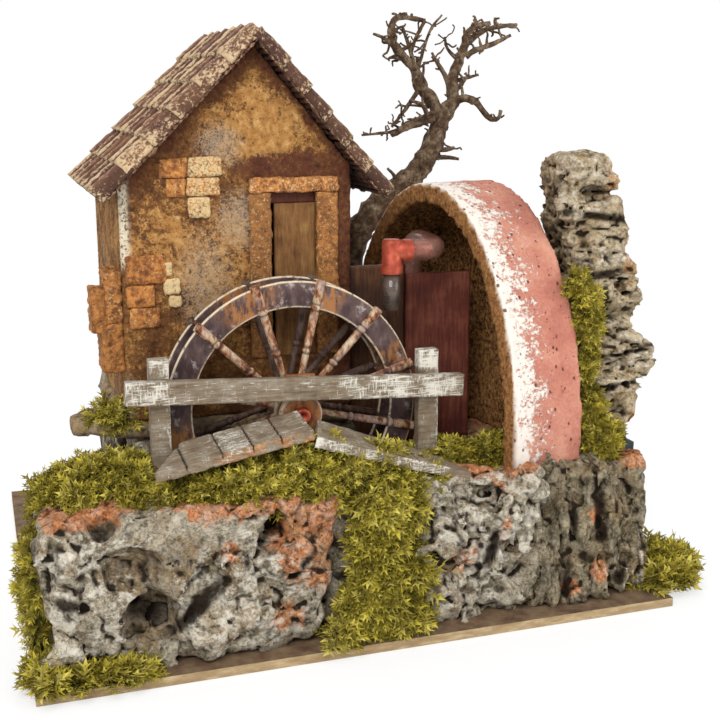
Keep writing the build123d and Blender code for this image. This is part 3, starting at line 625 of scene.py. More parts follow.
@dataclass(frozen=True)
class CorkBark:
    """Natural cork bark: grey crust, dark cracks, white on its ridges that is partly a painted highlight,
    orange and tan where it is cut, and painted shade in its hollows, pockets and gashes.
    """

    dark: Shade = (88, 77, 60)
    grey: Shade = (138, 127, 107)
    light: Shade = (178, 169, 150)
    # crack also colours the painted shade in the hollows, pockets and gashes.
    crack: Shade = (34, 27, 21)
    white: Shade = (208, 201, 186)
    orange: Shade = (186, 114, 68)
    tan: Shade = (140, 120, 88)
    stretch: Point = (1.5, 1.5, 1.0)
    scuffed: float = 0.7

    def dress(self, name: str = "cork_bark") -> bpy.types.Material:
        """Makes the material; it reads the marks hollow, pale, cut, inner, depth and crevice."""
        recipe = Recipe(name)
        cloud = recipe.noise(9, 5, 0.6)
        speck = recipe.noise(1.3, 4, 0.7, shift=5)
        crust = recipe.ramp(recipe.blend(0.5, cloud, speck), (0.36, self.dark), (0.48, self.grey),
                            (0.6, self.light))
        inner = recipe.ramp(recipe.noise(2.5, 4, 0.6, stretch=(1, 1, 3), shift=9), (0.36, (78, 60, 40)),
                            (0.5, (112, 92, 64)), (0.66, self.tan))
        crust = recipe.blend(recipe.times(recipe.mark("inner"), 0.75), crust, inner)
        cut = recipe.ramp(recipe.noise(1.6, 5, 0.75, shift=2), (0.34, (92, 56, 38)), (0.5, self.orange),
                          (0.68, (196, 152, 114)))
        cover = recipe.fade(recipe.noise(2.6, 6, 0.78, shift=31), 0.34, 0.5, 0.3, 1)
        crust = recipe.blend(recipe.times(recipe.mark("cut"), cover), crust, cut)
        tint = recipe.fade(recipe.noise(21, 3, 0.5, shift=41), 0.45, 0.7, 0, 0.4)
        crust = recipe.blend(tint, crust, (150, 124, 88))
        hollow = recipe.mark("hollow")
        # White on the ridges, where the mesh stands out: partly dust, partly a painted highlight.
        ridge = recipe.fade(hollow, -0.05, -0.42)
        dust = recipe.times(ridge, recipe.fade(recipe.noise(3, 5, 0.75, shift=3), 0.45, 0.65, 0, 0.8))
        dust = recipe.times(dust, recipe.mark("pale"))
        crust = recipe.blend(dust, crust, self.white)
        vein = recipe.noise(4.5, 6, 0.7, stretch=(1.2, 1.2, 1), shift=7, warp=0.6)
        lines = recipe.times(recipe.fade(vein, 0.485, 0.5), recipe.fade(vein, 0.515, 0.5))
        crust = recipe.blend(recipe.times(lines, 0.55), crust, self.crack)
        scuff = recipe.fade(recipe.noise(5.5, 6, 0.72, stretch=self.stretch, shift=23), 0.47, 0.58, 0,
                            self.scuffed)
        crust = recipe.blend(recipe.times(scuff, recipe.mark("pale")), crust, self.white)
        fissure = recipe.fade(recipe.noise(3.6, 6, 0.8, stretch=self.stretch, shift=13), 0.42, 0.34)
        crust = recipe.blend(recipe.times(fissure, 0.7), crust, self.crack)
        fine = recipe.fade(recipe.noise(0.9, 4, 0.8, stretch=self.stretch, shift=17), 0.4, 0.34)
        crust = recipe.blend(recipe.times(fine, 0.45), crust, self.crack)
        # The crevice mark: dark cracks, and painted shade along the carved gashes.
        crust = recipe.blend(recipe.times(recipe.mark("crevice"), 0.95), crust, self.crack)
        # Painted shade in the hollows of the crust.
        deep = recipe.fade(hollow, 0.05, 0.5)
        crust = recipe.blend(recipe.times(deep, 0.95), crust, self.crack)
        # The depth mark paints shade in the pockets that go in from the front.
        crust = recipe.blend(recipe.mark("depth"), crust, self.crack)
        height = recipe.plus(recipe.noise(1.1, 5, 0.7, shift=4), recipe.times(lines, -0.6))
        recipe.bump(height, 0.32, 0.9)
        return recipe.done(crust, 1.0, 0.03)


@dataclass(frozen=True)
class DryMoss:
    """Dyed dry moss: yellow-green tips over olive, darker towards the roots, which is partly painted shade
    inside the cushion.
    """

    root: Shade = (26, 22, 8)
    leaf: Shade = (118, 104, 26)
    tip: Shade = (202, 186, 70)

    def dress(self) -> bpy.types.Material:
        """Makes the fronds' material; it reads the marks tip and tone."""
        recipe = Recipe("moss_fronds")
        # Darker towards the roots: partly the moss's own colour, partly painted shade inside the cushion.
        green = recipe.ramp(recipe.mark("tip"), (0.0, self.root), (0.35, self.leaf), (0.95, self.tip))
        tint = recipe.ramp(recipe.mark("tone"), (0.0, (48, 42, 14)), (0.35, (128, 116, 34)),
                           (0.7, (190, 174, 62)), (1.0, (214, 200, 108)))
        green = recipe.blend(0.5, green, tint)
        patch = recipe.fade(recipe.noise(6, 5, 0.7), 0.44, 0.6)
        green = recipe.blend(recipe.times(patch, 0.6), green, (74, 66, 20))
        return recipe.done(green, 0.85, 0.2)

    def ground(self) -> bpy.types.Material:
        """Makes the dark bed that the fronds stand in; its dark colours are painted shade in the gaps between
        the fronds.
        """
        recipe = Recipe("moss_bed")
        bed = recipe.ramp(recipe.noise(2.4, 5, 0.7), (0.3, (24, 22, 8)), (0.55, (62, 60, 20)),
                          (0.8, (98, 96, 34)))
        recipe.bump(recipe.noise(1.2, 4, 0.7), 0.8)
        return recipe.done(bed, 0.95, 0.1)


@dataclass(frozen=True)
class Fibreboard:
    """Board with a brown painted top and bare tan edges."""

    edge: Shade = (158, 136, 102)
    top: Shade = (118, 98, 74)

    def dress(self) -> bpy.types.Material:
        """Makes the material from the way each face looks."""
        recipe = Recipe("fibreboard")
        fibre = recipe.noise(2.4, 5, 0.7, stretch=(4, 4, 1))
        edge = recipe.ramp(fibre, (0.3, (140, 112, 76)), (0.5, self.edge), (0.75, (198, 174, 136)))
        top = recipe.ramp(recipe.noise(7, 4, 0.6, shift=4), (0.3, (84, 60, 46)), (0.6, self.top),
                          (0.8, (140, 108, 84)))
        face = recipe.fade(recipe.facing("Z"), 0.4, 0.8)
        recipe.bump(fibre, 0.25, 0.5)
        return recipe.done(recipe.blend(face, edge, top), 0.85, 0.25)


@dataclass(frozen=True)
class Studio:
    """Camera, lights, floor and backdrop, in the frame's metres, degrees and watts."""

    place: Point = (-0.149, -0.5375, 0.227)
    tilt: float = 77.0
    turn: float = -18.5
    lens: float = 57.5
    aim: Point = (0, 0, 0.1)
    lamps: tuple[tuple[str, Point, float, float], ...] = (
        ("key", (-0.55, -0.9, 1.0), 0.75, 13.5),
        ("fill", (0.95, -0.7, 0.55), 0.8, 6.0),
        ("back", (0.1, 0.9, 0.9), 0.8, 6.0),
    )
    surround: float = 0.62
    floor_reach: float = 3.0
    floor_height: float = -0.0002
    floor_fade: tuple[float, float] = (0.16, 0.36)
    floor_glow: float = 0.6

    def build(self) -> None:
        """Sets the view of the photograph, with soft light and a white surround."""
        scene = bpy.context.scene
        camera = bpy.data.objects.new("camera", bpy.data.cameras.new("camera"))
        camera.location = self.place
        camera.rotation_euler = (math.radians(self.tilt), 0, math.radians(self.turn))
        camera.data.lens = self.lens
        camera.data.sensor_width = 36
        camera.data.clip_start = 0.01
        scene.collection.objects.link(camera)
        scene.camera = camera
        scene.view_settings.view_transform = "Standard"
        self._world(scene)
        for lamp in self.lamps:
            self._lamp(*lamp)
        self._floor(scene)

    def _world(self, scene: bpy.types.Scene) -> None:
        """Even pale light, white where the camera looks past the model."""
        world = bpy.data.worlds.new("surround")
        scene.world = world
        world.use_nodes = True
        tree = world.node_tree
        path = tree.nodes.new("ShaderNodeLightPath")
        seen = tree.nodes.new("ShaderNodeMath")
        seen.operation = "MAXIMUM"
        seen.use_clamp = True
        tree.links.new(path.outputs["Is Camera Ray"], seen.inputs[0])
        tree.links.new(path.outputs["Is Transmission Ray"], seen.inputs[1])
        level = tree.nodes.new("ShaderNodeMapRange")
        level.inputs["To Min"].default_value = self.surround
        level.inputs["To Max"].default_value = 1.0
        tree.links.new(seen.outputs[0], level.inputs["Value"])
        tree.links.new(level.outputs["Result"], tree.nodes["Background"].inputs["Strength"])
        tree.nodes["Background"].inputs["Color"].default_value = (1, 1, 1, 1)

    def _lamp(self, name: str, place: Point, size: float, power: float) -> None:
        """A soft square lamp that looks at the model's middle."""
        data = bpy.data.lights.new(name, "AREA")
        data.size = size
        data.energy = power
        lamp = bpy.data.objects.new(name, data)
        lamp.location = place
        aim = np.array(place) - np.array(self.aim)
        lamp.rotation_euler = (math.acos(aim[2] / np.linalg.norm(aim)), 0,
                               math.atan2(aim[1], aim[0]) + math.pi / 2)
        bpy.context.scene.collection.objects.link(lamp)

    def _floor(self, scene: bpy.types.Scene) -> None:
        """White floor that keeps the model's shadow and turns into the surround further out."""
        mesh = bpy.data.meshes.new("floor")
        corners = [(x * self.floor_reach, y * self.floor_reach, self.floor_height)
                   for x, y in ((-1, -1), (1, -1), (1, 1), (-1, 1))]
        mesh.from_pydata(corners, [], [(0, 1, 2, 3)])
        floor = bpy.data.objects.new("floor", mesh)
        scene.collection.objects.link(floor)
        material = bpy.data.materials.new("floor")
        material.use_nodes = True
        tree = material.node_tree
        tree.nodes.remove(tree.nodes["Principled BSDF"])
        paper = tree.nodes.new("ShaderNodeBsdfDiffuse")
        paper.inputs["Color"].default_value = (0.9, 0.9, 0.9, 1)
        glow = tree.nodes.new("ShaderNodeEmission")
        mixed = tree.nodes.new("ShaderNodeMixShader")
        length = tree.nodes.new("ShaderNodeVectorMath")
        length.operation = "LENGTH"
        where = tree.nodes.new("ShaderNodeTexCoord")
        far = tree.nodes.new("ShaderNodeMapRange")
        far.interpolation_type = "SMOOTHSTEP"
        far.inputs["From Min"].default_value = self.floor_fade[0]
        far.inputs["From Max"].default_value = self.floor_fade[1]
        far.inputs["To Min"].default_value = self.floor_glow
        tree.links.new(where.outputs["Object"], length.inputs[0])
        tree.links.new(length.outputs["Value"], far.inputs["Value"])
        path = tree.nodes.new("ShaderNodeLightPath")
        seen = tree.nodes.new("ShaderNodeMath")
        seen.operation = "MULTIPLY"
        tree.links.new(far.outputs["Result"], seen.inputs[0])
        tree.links.new(path.outputs["Is Camera Ray"], seen.inputs[1])
        tree.links.new(seen.outputs[0], mixed.inputs["Fac"])
        tree.links.new(paper.outputs[0], mixed.inputs[1])
        tree.links.new(glow.outputs[0], mixed.inputs[2])
        tree.links.new(mixed.outputs[0], tree.nodes["Material Output"].inputs["Surface"])
        mesh.materials.append(material)


@dataclass
class BarkRock:
    """One piece of cork bark: a rounded block with lumps, hollows and a cracked crust."""

    name: str
    nodes: tuple[str, ...]
    low: Point
    high: Point
    seed: int
    corner: float = 6.0
    pitch: float = 1.1
    rough: float = 1.0
    grain: Point = (1.0, 1.0, 1.0)
    lumps: tuple[tuple[Point, Point], ...] = ()
    hollows: tuple[tuple[Point, Point], ...] = ()
    wedges: tuple[tuple[tuple[float, float], ...], ...] = ()
    gashes: tuple[tuple[Point, Point, float], ...] = ()
    cuts: tuple[tuple[Point, Point], ...] = ()
    pale: tuple[tuple[Point, Point], ...] = ()
    calm: tuple[tuple[Point, Point], ...] = ()
    taper: float = 0.0
    flat_top: bool = False
    gash_ease: float = 1.0
    pocket_depth: float = 17.0

    def _bare(self, points: np.ndarray) -> np.ndarray:
        """Distance outside the piece before its lumps and hollows."""
        moved = points.copy()
        height = (points[:, 2] - self.low[2]) / (self.high[2] - self.low[2])
        lean = self.taper * np.clip(1 - height, 0, 1) ** 1.5
        moved[:, 0] += np.where(points[:, 0] > (self.low[0] + self.high[0]) / 2, lean, -lean * 0.6)
        return block(moved, self.low, self.high, self.corner)

    def _form(self, points: np.ndarray) -> np.ndarray:
        """Distance outside the piece before its crust is added."""
        values = self._bare(points)
        for centre, radii in self.lumps:
            values = merge(values, lump(points, centre, radii), 3)
        for centre, radii in self.hollows:
            values = carve(values, lump(points, centre, radii), 1.2)
        for start, end, radius in self.gashes:
            values = carve(values, rod(points, start, end, radius), self.gash_ease)
        for corners in self.wedges:
            values = carve(values, self._wedge(points, corners), 0.6)
        return values

    def _wedge(self, points: np.ndarray, corners: tuple[tuple[float, float], ...]) -> np.ndarray:
        """Distance outside a three-cornered pocket that narrows as it goes in."""
        middle = np.mean(corners, axis=0)
        depth = points[:, 1] - self.low[1]
        distance = np.full(len(points), -1e3, dtype=np.float32)
        for k, corner in enumerate(corners):
            following = corners[(k + 1) % len(corners)]
            run = np.subtract(following, corner)
            outward = np.array([run[1], -run[0]]) / np.hypot(*run)
            if outward @ (middle - corner) > 0:
                outward = -outward
            away = (points[:, 0] - corner[0]) * outward[0] + (points[:, 2] - corner[1]) * outward[1]
            distance = np.maximum(distance, away + 0.22 * np.maximum(depth, 0))
        return np.maximum(distance, depth - self.pocket_depth)

    def _relief(self, points: np.ndarray) -> np.ndarray:
        """Height of the crust over the form."""
        grain = Grain(self.seed)
        warped = points + 1.8 * np.stack([grain.smooth(points / 6 + k * 9.1) for k in range(3)], axis=1)
        stretch = np.array(self.grain)
        height = 2.2 * grain.layers(warped, 21 * stretch, 2)
        height += 3.4 * grain.facets(warped, 15 * stretch)
        height += 1.0 * grain.facets(warped + 31, 6.5 * stretch)
        height += 0.3 * (grain.knobs(warped + 61, 3.4 * stretch) - 0.45)
        height += 0.4 * grain.layers(points + 50, 3 * stretch, 3, 0.6)
        height -= 2.2 * grain.cracks(warped + 7, 24 * stretch, 2)
        height *= self.rough
        for centre, radii in self.calm:
            soft = step_between(lump(points, centre, radii) / min(radii), -0.1, 0.35)
            height = height * (0.22 + 0.78 * soft)
        if self.flat_top:
            height = np.minimum(height, self.high[2] - points[:, 2] + 0.2)
        return height

    def _marks(self, skin: Skin) -> None:
        """Works out where the crust is hollow, pale, cut or tan inside, where painted shade darkens its
        pockets, and where it is cracked, with painted shade in its gashes.
        """
        grain = Grain(self.seed + 5)
        skin.marks["hollow"] = skin.hollowness(5)
        ragged = 0.5 * grain.layers(skin.points, 6, 3)
        for mark, areas in (("pale", self.pale), ("cut", self.cuts), ("inner", self.hollows)):
            values = skin.level(0)
            for centre, radii in areas:
                away = lump(skin.points, centre, radii) / min(radii)
                away += ragged * (0.3 if mark == "inner" else 0.9)
                values = np.maximum(values, step_between(away, 0.28, 0.02))
            skin.marks[mark] = values
        skin.marks["pale"] = np.clip(0.25 + skin.marks["pale"], 0, 1)
        # The depth mark is painted shade in the pockets.
        skin.marks["depth"] = self._depth(skin)
        lines = grain.cracks(skin.points, 11 * np.array(self.grain), 4)
        lines = lines * step_between(grain.layers(skin.points + 9, 12, 2), -0.2, 0.15)
        # Along the carved gashes the crevice mark adds painted shade to the dark cracks.
        for start, end, radius in self.gashes:
            away = rod(skin.points, start, end, radius) + 0.6 * ragged
            lines = np.maximum(lines, step_between(away, 1.6, 0.2))
        skin.marks["crevice"] = lines

    def _depth(self, skin: Skin) -> np.ndarray:
        """Painted shade in the pockets that go in from the front: how dark each point is."""
        height = (skin.points[:, 2] - self.low[2]) / (self.high[2] - self.low[2])
        behind = skin.points[:, 1] - self.low[1]
        outward = -skin.normals()[:, 1]
        return (0.9 * step_between(behind, 7, 16) * step_between(outward, -0.2, 0.5)
                * step_between(height, 0.98, 0.85))

    def build(self, material: bpy.types.Material) -> bpy.types.Object:
        """Makes the piece.

        Args:
            material: its finish.

        Returns:
            The object.
        """
        room = 7
        low = tuple(np.subtract(self.low, (room, room, 2)))
        high = tuple(np.add(self.high, (room, 2, room)))
        skin = wrapped(self._form, low, high, self.pitch, self._relief, 6.5)
        self._marks(skin)
        return make_piece(self.name, skin, material, Body.MILL, self.nodes)


FRONT_ROCKS = (
    BarkRock(
        "rock_front_left", ("rock_front_left",), (5, 9, 4), (125, 42, 68), 11, corner=5, pitch=1.2, taper=10,
        rough=0.82,
        lumps=(((26, 12, 28), (13, 8, 14)), ((13, 12, 12), (9, 8, 8)), ((54, 9.5, 28), (4, 4, 3.5)),
               ((86, 11, 22), (16, 6, 14)), ((76, 9, 38), (9, 5, 8)), ((100, 12, 42), (12, 6, 12)),
               ((18, 12, 52), (13, 6, 8)), ((70, 10, 12), (10, 6, 8))),
        hollows=(((29, 13, 70), (7, 8, 12)), ((39, 9, 46), (12.5, 8, 9)), ((46, 8, 25), (12, 14, 11)),
                 ((65, 4, 44), (17, 7, 13))),
        wedges=(((98, 70), (86, 43), (108, 50)),),
        gashes=(((83, 8, 44), (58, 10, 21), 2.6), ((8, 8, 38), (20, 7, 34), 1.6),
                ((112, 8, 46), (104, 9, 36), 1.8)),
        cuts=(((22, 22, 70), (17, 20, 7)), ((82, 22, 70), (24, 20, 8)), ((111, 14, 54), (14, 16, 22)),
              ((78, 8, 50), (3, 4, 4)), ((53, 5, 30), (3, 4, 2.2)), ((99, 8, 18), (9, 4, 5))),
        pale=(((84, 9, 30), (24, 12, 22)), ((24, 8, 36), (16, 10, 16)), ((20, 8, 55), (22, 10, 8)),
              ((12, 9, 20), (12, 10, 14))),
        calm=(((66, 10, 57), (20, 12, 9)), ((39, 9, 46), (10, 8, 7)), ((29, 13, 68), (8, 9, 12))),
    ),
    BarkRock(
        "rock_front_middle", ("rock_front_middle",), (120, 18, 4), (170, 42, 66), 23, pitch=2.2, rough=0.8,
    ),
    BarkRock(
        "rock_front_right", ("rock_front_right",), (160, 10, 4), (218, 42, 69), 37, corner=5, pitch=1.2,
        rough=1.15,
        lumps=(((186, 11, 50), (11, 6, 9)), ((205, 11, 44), (9, 7, 12)), ((174, 11, 40), (9, 6, 8)),
               ((181, 11, 20), (11, 6, 10)), ((205, 13, 62), (11, 7, 6)), ((196, 12, 30), (8, 5, 12))),
        hollows=(((210, 9, 36), (9, 7, 4.5)), ((176, 8, 30), (12, 7, 4)), ((190, 9, 60), (12, 5, 3))),
        gashes=(((165, 9, 38), (178, 9, 24), 2.2), ((194, 8, 44), (190, 9, 22), 1.8)),
        cuts=(((180, 8, 33), (7, 5, 5)), ((197, 8, 46), (2.5, 5, 6)), ((200, 10, 63), (6, 6, 3)),
              ((196, 22, 71), (22, 20, 4))),
        pale=(((190, 9, 48), (30, 12, 20)), ((182, 9, 18), (14, 10, 12)), ((205, 9, 60), (14, 8, 8))),
    ),
    BarkRock(
        "rock_front_corner", ("rock_front_corner",), (212, 13, 4), (273, 42, 67), 41, corner=5, pitch=1.3,
        grain=(0.75, 0.75, 1.8), rough=1.1,
        lumps=(((226, 12, 40), (5, 4, 26)), ((239, 12, 30), (6, 5, 26)), ((252, 12, 42), (6, 5, 22)),
               ((261, 14, 22), (8, 6, 16)), ((265, 20, 58), (8, 10, 8)), ((246, 12, 10), (10, 5, 8))),
        gashes=(((232, 10, 64), (231, 10, 10), 2.2), ((245, 9, 62), (247, 10, 34), 2.2),
                ((259, 10, 60), (258, 11, 12), 2.2), ((236, 9, 26), (252, 9, 20), 1.8)),
        hollows=(((248, 9, 22), (5, 5, 4)), ((217, 9, 56), (6, 6, 5))),
        cuts=(((248, 9, 18), (5, 5, 5)), ((244, 9, 45), (3, 5, 4)), ((271, 24, 68), (12, 20, 5)),
              ((232, 9, 12), (4, 5, 3))),
        pale=(((262, 12, 14), (12, 8, 8)),),
    ),
)

SIDE_ROCKS = (
    BarkRock("rock_left_side", ("rock_left_side",), (6, 38, 4), (46, 76, 66), 53, pitch=2.4, rough=0.9),
    BarkRock(
        "rock_under_house", ("rock_under_house",), (51, 74, 4), (152, 228, 79), 59, pitch=3.0,
        cuts=(((100, 150, 80), (60, 80, 5)),),
        pale=(((56, 160, 50), (12, 60, 30)), ((104, 226, 40), (50, 12, 30))),
        flat_top=True,
    ),
    BarkRock(
        "rock_back_right", ("rock_back_right",), (148, 74, 4), (278, 228, 66), 61, pitch=3.0, flat_top=True,
        cuts=(((214, 150, 67), (60, 80, 5)),),
        pale=(((276, 150, 30), (12, 60, 30)), ((214, 226, 40), (60, 12, 30))),
    ),
)


@dataclass(frozen=True)
class FrondKind:
    """Shape of one moss frond: a bowed stem with leaflets on both sides."""

    pairs: int = 3
    leaf: float = 0.42
    width: float = 0.17
    bow: float = 0.35

    def template(self, draw: np.random.Generator) -> tuple[np.ndarray, np.ndarray, np.ndarray]:
        """Makes one frond of length 1 along X.

        Args:
            draw: source of its irregularity.

        Returns:
            Points, triangles, and how near the tip each point is.
        """
        spine = [np.array([s, 0.05 * draw.normal() * s, self.bow * s * (1 - 0.4 * s)])
                 for s in np.linspace(0, 1, 5)]
        points: list[np.ndarray] = []
        faces: list[tuple[int, int, int]] = []
        tips: list[float] = []

        def add(corners: Sequence[np.ndarray], nearness: Sequence[float]) -> None:
            """Adds one triangle."""
            faces.append((len(points), len(points) + 1, len(points) + 2))
            points.extend(corners)
            tips.extend(nearness)

        thin = np.array([0, 0.035, 0])
        for k in range(2):
            start, end = spine[2 * k], spine[2 * k + 2]
            add((start - thin, start + thin, end), (k * 0.3, k * 0.3, k * 0.3 + 0.35))
        for pair in range(self.pairs):
            share = (pair + 1.1) / (self.pairs + 1)
            foot = spine[0] * (1 - share) + spine[-1] * share
            foot[2] = self.bow * share * (1 - 0.4 * share)
            for side in (-1, 1):
                reach = self.leaf * (1.15 - 0.5 * share) * draw.uniform(0.75, 1.25)
                lean = draw.uniform(0.5, 1.0)
                end = foot + reach * np.array([lean, side, draw.uniform(0.05, 0.5)])
                back = foot - np.array([self.width * 0.5, 0, 0])
                fore = foot + np.array([self.width * 0.6, side * 0.03, 0.02])
                add((back, fore, end), (share * 0.5, share * 0.5, 0.5 + 0.5 * share))
        end = spine[-1]
        side = np.array([0, self.width * 0.6, 0])
        add((end - side - np.array([0.12, 0, 0]), end + side - np.array([0.12, 0, 0]),
             end + np.array([0.22, 0, -0.03])), (0.7, 0.7, 1.0))
        return np.array(points), np.array(faces), np.array(tips)


@dataclass
class MossPatch:
    """A cushion of dry moss: a bed of soft lumps, dark with painted shade, with fronds standing in it."""

    name: str
    nodes: tuple[str, ...]
    lumps: tuple[tuple[Point, Point], ...]
    fronds: int
    seed: int
    length: tuple[float, float] = (3.0, 6.0)
    pitch: float = 1.8
    limits: tuple[Point, Point] = ((-12, -6, 3), (306, 246, 260))
    facing: Point = (0, -0.6, 1)
    droop: float = 0.0

    def _form(self, points: np.ndarray) -> np.ndarray:
        """Distance outside the bed."""
        values = lump(points, *self.lumps[0])
        for centre, radii in self.lumps[1:]:
            values = merge(values, lump(points, centre, radii), 2.5)
        low, high = np.array(self.limits[0]), np.array(self.limits[1])
        return np.maximum(values, np.maximum(low - points, points - high).max(axis=1))

    def _bed(self) -> Skin:
        """The bed's skin."""
        grain = Grain(self.seed)
        corners = np.array([[np.subtract(c, r), np.add(c, r)] for c, r in self.lumps])
        low = np.maximum(corners[:, 0].min(axis=0) - 4, np.array(self.limits[0]) - 2)
        high = np.minimum(corners[:, 1].max(axis=0) + 4, np.array(self.limits[1]) + 2)
        return wrapped(
            self._form, tuple(low), tuple(high), self.pitch,
            lambda points: 1.6 * grain.layers(points, 7, 3) + 1.2 * grain.knobs(points, 4) - 0.6, 4)

    def _fronds(self, bed: Skin) -> Skin:
        """Fronds spread over the bed where it looks outward."""
        draw = np.random.default_rng(self.seed)
        corner = bed.points[bed.faces]
        across = np.cross(corner[:, 2] - corner[:, 0], corner[:, 3] - corner[:, 1]) / 2
        area = np.linalg.norm(across, axis=1)
        normal = across / np.maximum(area, 1e-9)[:, None]
        outward = np.array(self.facing) / np.linalg.norm(self.facing)
        weight = area * np.clip(0.45 + normal @ outward, 0.02, 1)
        low, high = np.array(self.limits[0]), np.array(self.limits[1])
        middle = corner.mean(axis=1)
        weight *= ((middle > low + 0.4) & (middle < high - 0.4)).all(axis=1)
        chosen = draw.choice(len(weight), size=self.fronds, p=weight / weight.sum())
        mix = draw.dirichlet(np.ones(4), size=self.fronds)
        foot = np.einsum("ij,ijk->ik", mix, corner[chosen])
        up = normal[chosen]
        lean = draw.normal(size=(self.fronds, 3))
        lean[:, 2] -= self.droop
        lean /= np.linalg.norm(lean, axis=1, keepdims=True)
        along = 0.75 * up + lean
        along /= np.linalg.norm(along, axis=1, keepdims=True)
        side = np.cross(up, along)
        side /= np.maximum(np.linalg.norm(side, axis=1, keepdims=True), 1e-6)
        over = np.cross(along, side)
        size = draw.uniform(*self.length, size=self.fronds)
        clump = Grain(self.seed + 3).layers(foot, 8, 3)
        size = size * np.clip(1.0 + 0.9 * clump, 0.4, 1.7)
        tone = np.clip(draw.normal(0.48, 0.24, self.fronds) + 0.8 * clump, 0, 1)
        kinds = [FrondKind(bow=draw.uniform(0.1, 0.6)).template(draw) for _ in range(8)]
        kind = draw.integers(0, len(kinds), self.fronds)
        skins = []
        for number, (shape, faces, tips) in enumerate(kinds):
            at = np.flatnonzero(kind == number)
            frame = np.stack([along[at], side[at], over[at]], axis=1)
            points = np.einsum("pk,nkc->npc", shape, frame) * size[at, None, None]
            points += (foot[at] - 0.4 * up[at])[:, None, :]
            skins.append(Skin(
                points.reshape(-1, 3),
                (faces[None] + (np.arange(len(at)) * len(shape))[:, None, None]).reshape(-1, 3),
                {"tip": np.tile(tips, len(at)), "tone": np.repeat(tone[at], len(shape))}))
        fronds = joined(skins)
        np.clip(fronds.points[:, 2], 4.2, None, out=fronds.points[:, 2])
        return fronds

    def build(self, bed_material: bpy.types.Material, frond_material: bpy.types.Material) -> None:
        """Makes the bed and the fronds.

        Args:
            bed_material: finish of the bed.
            frond_material: finish of the fronds.
        """
        bed = self._bed()
        make_piece(f"{self.name}_bed", bed, bed_material, Body.MILL, self.nodes)
        make_piece(f"{self.name}_fronds", self._fronds(bed), frond_material, Body.MILL)


MOSSES = (
    MossPatch("moss_left_heap", ("moss_left",),
              (((36, 44, 66), (24, 18, 14)), ((15, 50, 60), (11, 16, 13)), ((58, 38, 66), (12, 13, 8)),
               ((48, 24, 66.5), (8, 6, 3.5)), ((66, 25, 68), (9, 6, 4))), 3300, 71),
    MossPatch("moss_left_edge", (),
              (((5, 44, 30), (3.5, 16, 20)), ((5, 30, 44), (3, 10, 9)), ((4, 26, 18), (3, 7, 12))),
              900, 73, facing=(-0.6, -1, 0.6), droop=0.4),
    MossPatch("moss_left_corner", (),
              (((9, 5, 4), (9, 5, 4)), ((26, 4, 3.5), (11, 4, 3)), ((40, 4.5, 3.5), (8, 4, 2.5)),
               ((4, 14, 5), (4, 8, 5))),
              900, 79, length=(3.5, 7.5), facing=(0, -0.6, 1)),
    MossPatch("moss_under_planks", ("moss_under_planks",),
              (((72, 27, 68), (20, 11, 8)), ((94, 25, 71), (20, 11, 10)), ((118, 24, 73), (20, 12, 14)),
               ((143, 24, 71), (18, 11, 9)), ((163, 24, 66), (14, 9, 6))), 3600, 83, facing=(0, -1, 0.6)),
    MossPatch("moss_fall", ("moss_fall",),
              (((148, 18, 57), (14, 8, 13)), ((143, 15, 36), (10, 8, 15)), ((137, 10, 15), (11, 6, 11)),
               ((156, 15, 28), (7, 7, 14)), ((152, 10, 10), (10, 5, 7)), ((124, 6.5, 6), (7, 4, 4))),
              3800, 89, facing=(0, -1, 0.5), droop=0.5, length=(3, 7.5)),
    MossPatch("moss_arch_foot", ("moss_arch",),
              (((186, 40, 68), (11, 8, 5)), ((200, 35, 67), (10, 7, 5)), ((176, 44, 68), (10, 5, 5)),
               ((208, 42, 69), (9, 6, 5))), 1500, 97, facing=(0, -0.7, 1)),
    MossPatch("moss_pillar_gap", ("moss_pillar",),
              (((256, 36, 72), (10, 10, 9)), ((252, 37, 88), (5, 6, 9)), ((249, 38, 106), (4, 5, 10)),
               ((248, 37, 128), (5, 6, 13)), ((245, 38, 142), (4.5, 5, 8))), 2000, 101,
              facing=(0.4, -1, 0.3)),
    MossPatch("moss_right_corner", ("moss_right",),
              (((290, 26, 6.5), (12, 12, 6)), ((280, 17, 5), (8, 6, 4)), ((299, 33, 5.5), (6, 6, 3))),
              1100, 103, facing=(0.4, -0.7, 1), length=(4.5, 9)),
    MossPatch("moss_shelf", (),
              (((47, 80, 88), (8, 5, 3.4)), ((40, 88, 88), (5, 8, 2.6))), 320, 107, facing=(-0.3, -0.7, 1)),
    MossPatch("moss_back_strip", ("moss_back",),
              (((60, 234, 6), (34, 8, 11)), ((120, 235, 6), (34, 8, 9)), ((180, 234, 6), (34, 8, 12)),
               ((236, 235, 6), (22, 8, 9))), 1300, 109, facing=(0, 0.8, 1), length=(3.5, 7)),
)


class WallFace(Enum):
    """Which wall of the house."""

    FRONT = "front"
    BACK = "back"
    LEFT = "left"
    RIGHT = "right"


